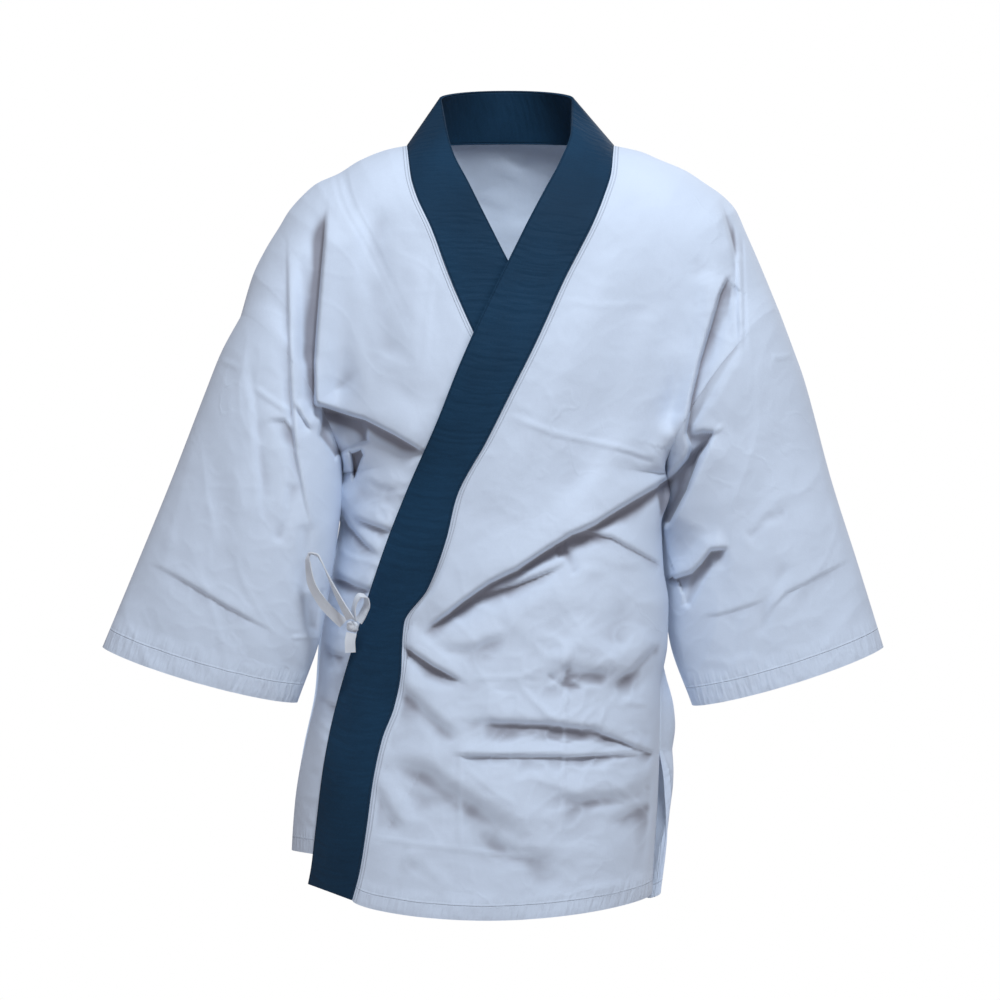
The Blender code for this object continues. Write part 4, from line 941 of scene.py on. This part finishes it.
def seam_mask(U, V, soft):
    """1 inside a front panel.  At the armhole it follows the sleeve's own measure, at the side seam it is 0."""
    ring = np.clip(np.sin(np.pi * np.clip(V / UNDERARM, 0, 1)) * 2.5, 0, 1)
    k = step(U, soft, 1.0)
    return (1 - k) + k * ring


SLIT_TOP = -602.0


def marks_of(P, Z0, kind):
    hem = arc(P, 0, back=True)
    first, last = arc(P, 1), arc(P, 1, back=True)
    slit = Z0 < SLIT_TOP
    if kind == "back":
        side = np.minimum(first, last)
        band = np.full(hem.shape, 900.0)
    else:
        side, band = last, first
    return {"hem": hem, "run": first, "side": np.where(slit, side, 900.0), "rise": arc(P, 0), "band": band}


def panel(kind, rows, cols):
    if kind == "back":
        right = 0.32 * (1 - cols[::-1])
        u = np.r_[right, 0.32 + 0.36 * np.linspace(0, 1, 44)[1:-1], 1 - right[::-1]]
    else:
        u = cols
    U, V = np.meshgrid(u, rows)
    X, Y, Z = body_panel(kind, U, V)
    X0, Z0 = X, Z
    top = step(V, 0, 0.05)
    if kind != "back":
        # close below the underarm the cloth puffs out against the sleeve
        e = (1 - U) / 0.026
        X = X + (1 if kind == "outer" else -1) * 8.5 * np.exp(-((Z + 346.0) / 27.0) ** 2) * (e * np.exp(1 - e)) ** 2
    if kind == "under":
        Y = Y + under_drop(X, Z) * (1 - step(U, 0.86, 1.0)) * step(V, 0, 0.06)
        H = lift(X, Z, FOLDS_UNDER, CREASES_UNDER, TROUGHS_UNDER, PITS_UNDER)
        H = H + 1.2 * lumps(X, Z, 3, 60, (0.6, 1.7)) + 0.8 * lumps(X, Z, 4, 22, (0.8, 1.3), 0.5)
        low = step(-Z, 300, 340)
        H = H + (0.3 + 1.4 * low) * ridges(X, Z, 43, 34, (1.5, 0.7), -0.6) + 0.5 * low * ridges(X, Z, 44, 15)
        t, sign, _ = reach(X, Z, FREE_OUTER)
        beside = 1 - 0.85 * step(np.where(sign > 0, t, -t), -24.0, 3.0)
        D = H * (1 - step(U, 0.95, 1.0)) * top + lift(X, Z, **SHARED_R) * seam_mask(U, V, 0.93) * top * beside
        Y = Y - D
    if kind == "outer":
        H = lift(X, Z, FOLDS_OUTER, CREASES_OUTER, TROUGHS_OUTER, PITS_OUTER)
        low = step(-Z, 330, 480)
        H = H + (1.0 + 0.9 * low) * lumps(X, Z, 1, 60, (0.55, 1.8), -0.5) + (0.4 + 0.9 * low) * lumps(X, Z, 2, 22, (1.4, 0.8), 0.4)
        busy = np.exp(-(((X - 70.0) / 95.0) ** 2 + ((Z + 590.0) / 110.0) ** 2))
        H = H + (0.5 + 1.9 * busy) * ridges(X, Z, 41, 44, (1.5, 0.8), -0.5) + (0.25 + 1.1 * busy) * ridges(X, Z, 42, 20, (1.2, 0.8), 0.5)
        D = H * (1 - step(U, 0.96, 1.0)) * step(U, 0, 0.04) * top + lift(X, Z, **SHARED_L) * seam_mask(U, V, 0.93) * top
        Y = Y - D
    if kind == "back":
        edge = np.minimum(U, 1 - U)
        H = lift(X, Z, FOLDS_BACK, CREASES_BACK, TROUGHS_BACK)
        H = H + 2.0 * lumps(X, Z, 5, 70, (0.6, 1.8)) + 0.9 * lumps(X, Z, 6, 24) + 1.2 * ridges(X, Z, 45, 56, (1.3, 0.9), 0.3) + 0.4 * ridges(X, Z, 46, 22)
        D = H * step(edge, 0, 0.05) * top
        Y = Y + D
    P = place(X, Y, Z)
    # the back is the less crumpled side, and its fold valleys get a weaker painted shade
    return P, dict(marks_of(P, Z0, kind), painted_shade_depth=hollows(D) * (0.30 if kind == "back" else 1.0))


def sleeve_shape(rows, folds, creases, pits, shared, ns, nphi, seed):
    s = np.linspace(0, 1, ns)
    phi = np.linspace(0, 2 * np.pi, nphi, endpoint=False)
    Pm, S = np.meshgrid(phi, s)
    X, Y, Z = sleeve(rows, S, Pm)
    away = -1.0 if rows is SLEEVE_R else 1.0
    k = np.exp(-((Pm - np.pi) / 0.55) ** 2) * np.exp(-(S / 0.16))
    X = X + away * 3.0 * k
    Z = Z - 1.5 * k
    face = np.sin(Pm)
    H = lift(X, Z, folds, creases, (), pits)
    H = H + 2.2 * lumps(X, Z, seed, 56, (0.6, 1.9), -0.3 * away) + 0.9 * lumps(X, Z, seed + 1, 22, (0.8, 1.3), -0.3 * away)
    H = H + 0.8 * ridges(X, Z, seed + 4, 54, (0.7, 1.6), -0.3 * away) + 0.35 * ridges(X, Z, seed + 5, 20)
    B = 2.4 * lumps(X, Z, seed + 2, 60, (0.6, 1.8), -0.3 * away) + 0.8 * lumps(X, Z, seed + 3, 24) + 1.0 * ridges(X, Z, seed + 6, 50, (0.7, 1.6))
    B = B + lift(X, Z, [(f[0], f[1] * 0.7, *f[2:]) for f in folds[:2]])
    start = step(S, 0, 0.05)
    front = (H * start + lift(X, Z, **shared)) * np.clip(face * 2.5, 0, 1)
    rear = B * np.clip(-face * 2.5, 0, 1) * start
    Y = Y - front + rear
    P = place(X, Y, Z)
    # the run counts up and back down, so that it meets itself round the tube
    run = arc(P, 1)
    run = np.minimum(run, run[:, -1:] + run[:, 1:2] - run)
    # depth of the fold valleys, which the material darkens as painted shade
    return P, {"hem": arc(P, 0, back=True), "run": run, "painted_shade_depth": hollows(front + rear, 6, True)}


cols = 1 - (1 - np.linspace(0, 1, 152)) ** 1.15
rows = even(138, 182, 1.1)
P, marks = panel("outer", rows, cols)
front_left = grid_mesh("coat_front_left", P, 0.0011, mat=WHITE, marks=marks)
a_outer = area_of(P)
P, marks = panel("under", rows, cols)
front_right = grid_mesh("coat_front_right", P, 0.0011, mat=WHITE, marks=marks)
a_under = area_of(P)
bc = 1 - (1 - np.linspace(0, 1, 84)) ** 1.25
P, marks = panel("back", even(98, 118), bc)
back = grid_mesh("coat_back", P, 0.0011, mat=WHITE, marks=marks)
a_back = area_of(P)
P, marks = sleeve_shape(SLEEVE_R, FOLDS_SLEEVE_R, CREASES_SLEEVE_R, PITS_SLEEVE_R, SHARED_R, 165, 250, 11)
sleeve_right = grid_mesh("coat_sleeve_right", P, 0.0011, wrap=True, mat=WHITE_SLEEVE, marks=marks)
a_sr = area_of(P, True)
P, marks = sleeve_shape(SLEEVE_L, FOLDS_SLEEVE_L, CREASES_SLEEVE_L, PITS_SLEEVE_L, SHARED_L, 165, 250, 21)
sleeve_left = grid_mesh("coat_sleeve_left", P, 0.0011, wrap=True, mat=WHITE_SLEEVE, marks=marks)
a_sl = area_of(P, True)

across = np.linspace(0, 1, 20)
bv = even(130, 190, 1.1)
X, Y, Z = band_rows(across, bv, np.linspace(0, 1, 62)[1:-1])
# the stiffened band ripples a little, most below the tie
A, R = np.meshgrid(across, np.arange(X.shape[0]))
ripple = 0.5 * lumps(X, Z, 31, 46, (1.4, 0.7), 1.1) + 0.35 * lumps(X, Z, 32, 17, (1.8, 0.6), 0.15)
outer_rows = (R >= X.shape[0] - len(bv)) & (Z < -430)
Y = Y - np.where(outer_rows, 1.0, 0.35) * ripple * np.sin(np.pi * A) ** 0.7
P = place(X, Y, Z)
w = arc(P, 1)
marks = {"band": np.minimum(w, arc(P, 1, back=True)), "rise": arc(P, 0), "run": arc(P, 0)}
band = grid_mesh("coat_neck_band", P, 0.0026, mat=NAVY, marks=marks)
a_band = area_of(P)

pieces = [(front_left, "front_left", "white_cloth"), (front_right, "front_right", "white_cloth"), (back, "back", "white_cloth"),
          (sleeve_right, "sleeve_right", "white_cloth"), (sleeve_left, "sleeve_left", "white_cloth"), (band, "neck_band", "navy_cloth")]
for ob, node, slot in pieces:
    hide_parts(node)
    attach(ob, "root")

# ---------------------------------------------------------------------- tie
def tape_piece(name, path, facing, node, width=0.0115, thick=0.0011, steps=60):
    Q = np.array([place(np.array(float(x)), np.array(float(y)), np.array(float(z))) for x, y, z in path])
    T = tape(Q, width, thick, facing, steps)
    wide = np.stack([T[:, 0] + (T[:, 2] - T[:, 0]) * f for f in np.linspace(0, 1, 7)], 1)
    ob = grid_mesh(name, wide, thick, mat=TAPE)
    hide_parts(node)
    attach(ob, "root")
    L = float(np.linalg.norm(np.diff(along(Q, np.linspace(0, 1, 200)), axis=0), axis=1).sum())
    return ob, Q, L


tie_rows = (("tie_bow_long", LOOP_LONG, LOOP_LONG_FACE, "tie_loop_long", LONG_WIDTH, 90),
            ("tie_bow_short", LOOP_SHORT, LOOP_SHORT_FACE, "tie_loop_short", SHORT_WIDTH, 60),
            ("tie_tail", TAIL, TAIL_FACE, "tie_tail_front", TAIL_WIDTH, 20))
for name, path, face, node, width, steps in tie_rows:
    ob, Q, length = tape_piece(name, path, face, node, width=width, steps=steps)
    if length > 6 * width:
        # both loops leave the knot and go back into it
        line = along(Q, np.linspace(0, 1, 36))

# the knot: tape drawn round itself, so its face shows two crossing turns
th, ph = np.meshgrid(np.linspace(0, 2 * np.pi, 52, endpoint=False), np.linspace(0.06, np.pi - 0.06, 30))
nx, ny, nz = np.sin(ph) * np.cos(th), np.sin(ph) * np.sin(th), np.cos(ph)
turn = np.abs(nx * 0.8 + nz * 0.6)                 # a turn across the face
under = np.abs(nx * 0.5 - nz * 0.87)
rad = 0.90 + 0.16 * (1 - step(turn, 0.34, 0.46)) + 0.07 * (1 - step(under, 0.30, 0.42))
rad = rad + 0.03 * np.sin(14 * (nx * 0.6 - nz * 0.8)) * (turn < 0.4)
c0 = place(np.array(KNOT[0]), np.array(KNOT[1]), np.array(KNOT[2])) * 1000
kn = np.stack([c0[0] + KNOT_HALF[0] * rad * nx, c0[1] + KNOT_HALF[1] * rad * ny, c0[2] + KNOT_HALF[2] * rad * nz], -1) / 1000
knot = grid_mesh("tie_knot_turns", kn, 0.0006, wrap=True, mat=TAPE)
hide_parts("tie_knot")
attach(knot, "root")

# --------------------------------------------------------- floor and lights
me = bpy.data.meshes.new("floor")
ring = [(2.2 * math.cos(2 * math.pi * k / 96), 2.2 * math.sin(2 * math.pi * k / 96), -1.36) for k in range(96)]
me.from_pydata(ring, [], [tuple(range(96))])
floor = bpy.data.objects.new("floor", me)
bpy.context.scene.collection.objects.link(floor)
fm = bpy.data.materials.new("floor")
fm.use_nodes = True
fb = fm.node_tree.nodes["Principled BSDF"]
fb.inputs["Base Color"].default_value = (0.93, 0.93, 0.93, 1)
fb.inputs["Roughness"].default_value = 0.9
me.materials.append(fm)


def area(name, loc, target, size, power, colour=(1, 1, 1)):
    d = bpy.data.lights.new(name, "AREA")
    d.shape = "DISK"
    d.size = size
    d.energy = power
    d.color = colour
    o = bpy.data.objects.new(name, d)
    o.location = loc
    o.visible_camera = False
    o.rotation_euler = (Vector(target) - Vector(loc)).to_track_quat("-Z", "Y").to_euler()
    bpy.context.scene.collection.objects.link(o)
    return o


area("key", (0.30, -1.5, 1.35), (0, 0, -0.30), 0.5, 37.0, (0.86, 0.93, 1.0))
area("fill_left", (-2.6, -1.6, 0.3), (0, 0, -0.4), 1.6, 3.0, (0.85, 0.93, 1.0))
area("fill_back", (1.6, 2.4, 1.2), (0, 0, -0.35), 1.8, 27.0)
world = bpy.data.worlds.new("world")
world.use_nodes = True
bg = world.node_tree.nodes["Background"]
bg.inputs["Color"].default_value = (1.0, 0.93, 0.95, 1)
bg.inputs["Strength"].default_value = 0.26
# a white studio backdrop, seen only directly
white = world.node_tree.nodes.new("ShaderNodeBackground")
white.inputs["Color"].default_value = (1, 1, 1, 1)
white.inputs["Strength"].default_value = 1.0
path = world.node_tree.nodes.new("ShaderNodeLightPath")
pick = world.node_tree.nodes.new("ShaderNodeMixShader")
world.node_tree.links.new(path.outputs["Is Camera Ray"], pick.inputs["Fac"])
world.node_tree.links.new(bg.outputs[0], pick.inputs[1])
world.node_tree.links.new(white.outputs[0], pick.inputs[2])
world.node_tree.links.new(pick.outputs[0], world.node_tree.nodes["World Output"].inputs["Surface"])
bpy.context.scene.world = world
vs = bpy.context.scene.view_settings
vs.view_transform = "Standard"
vs.look = "None"
vs.exposure = 0.0
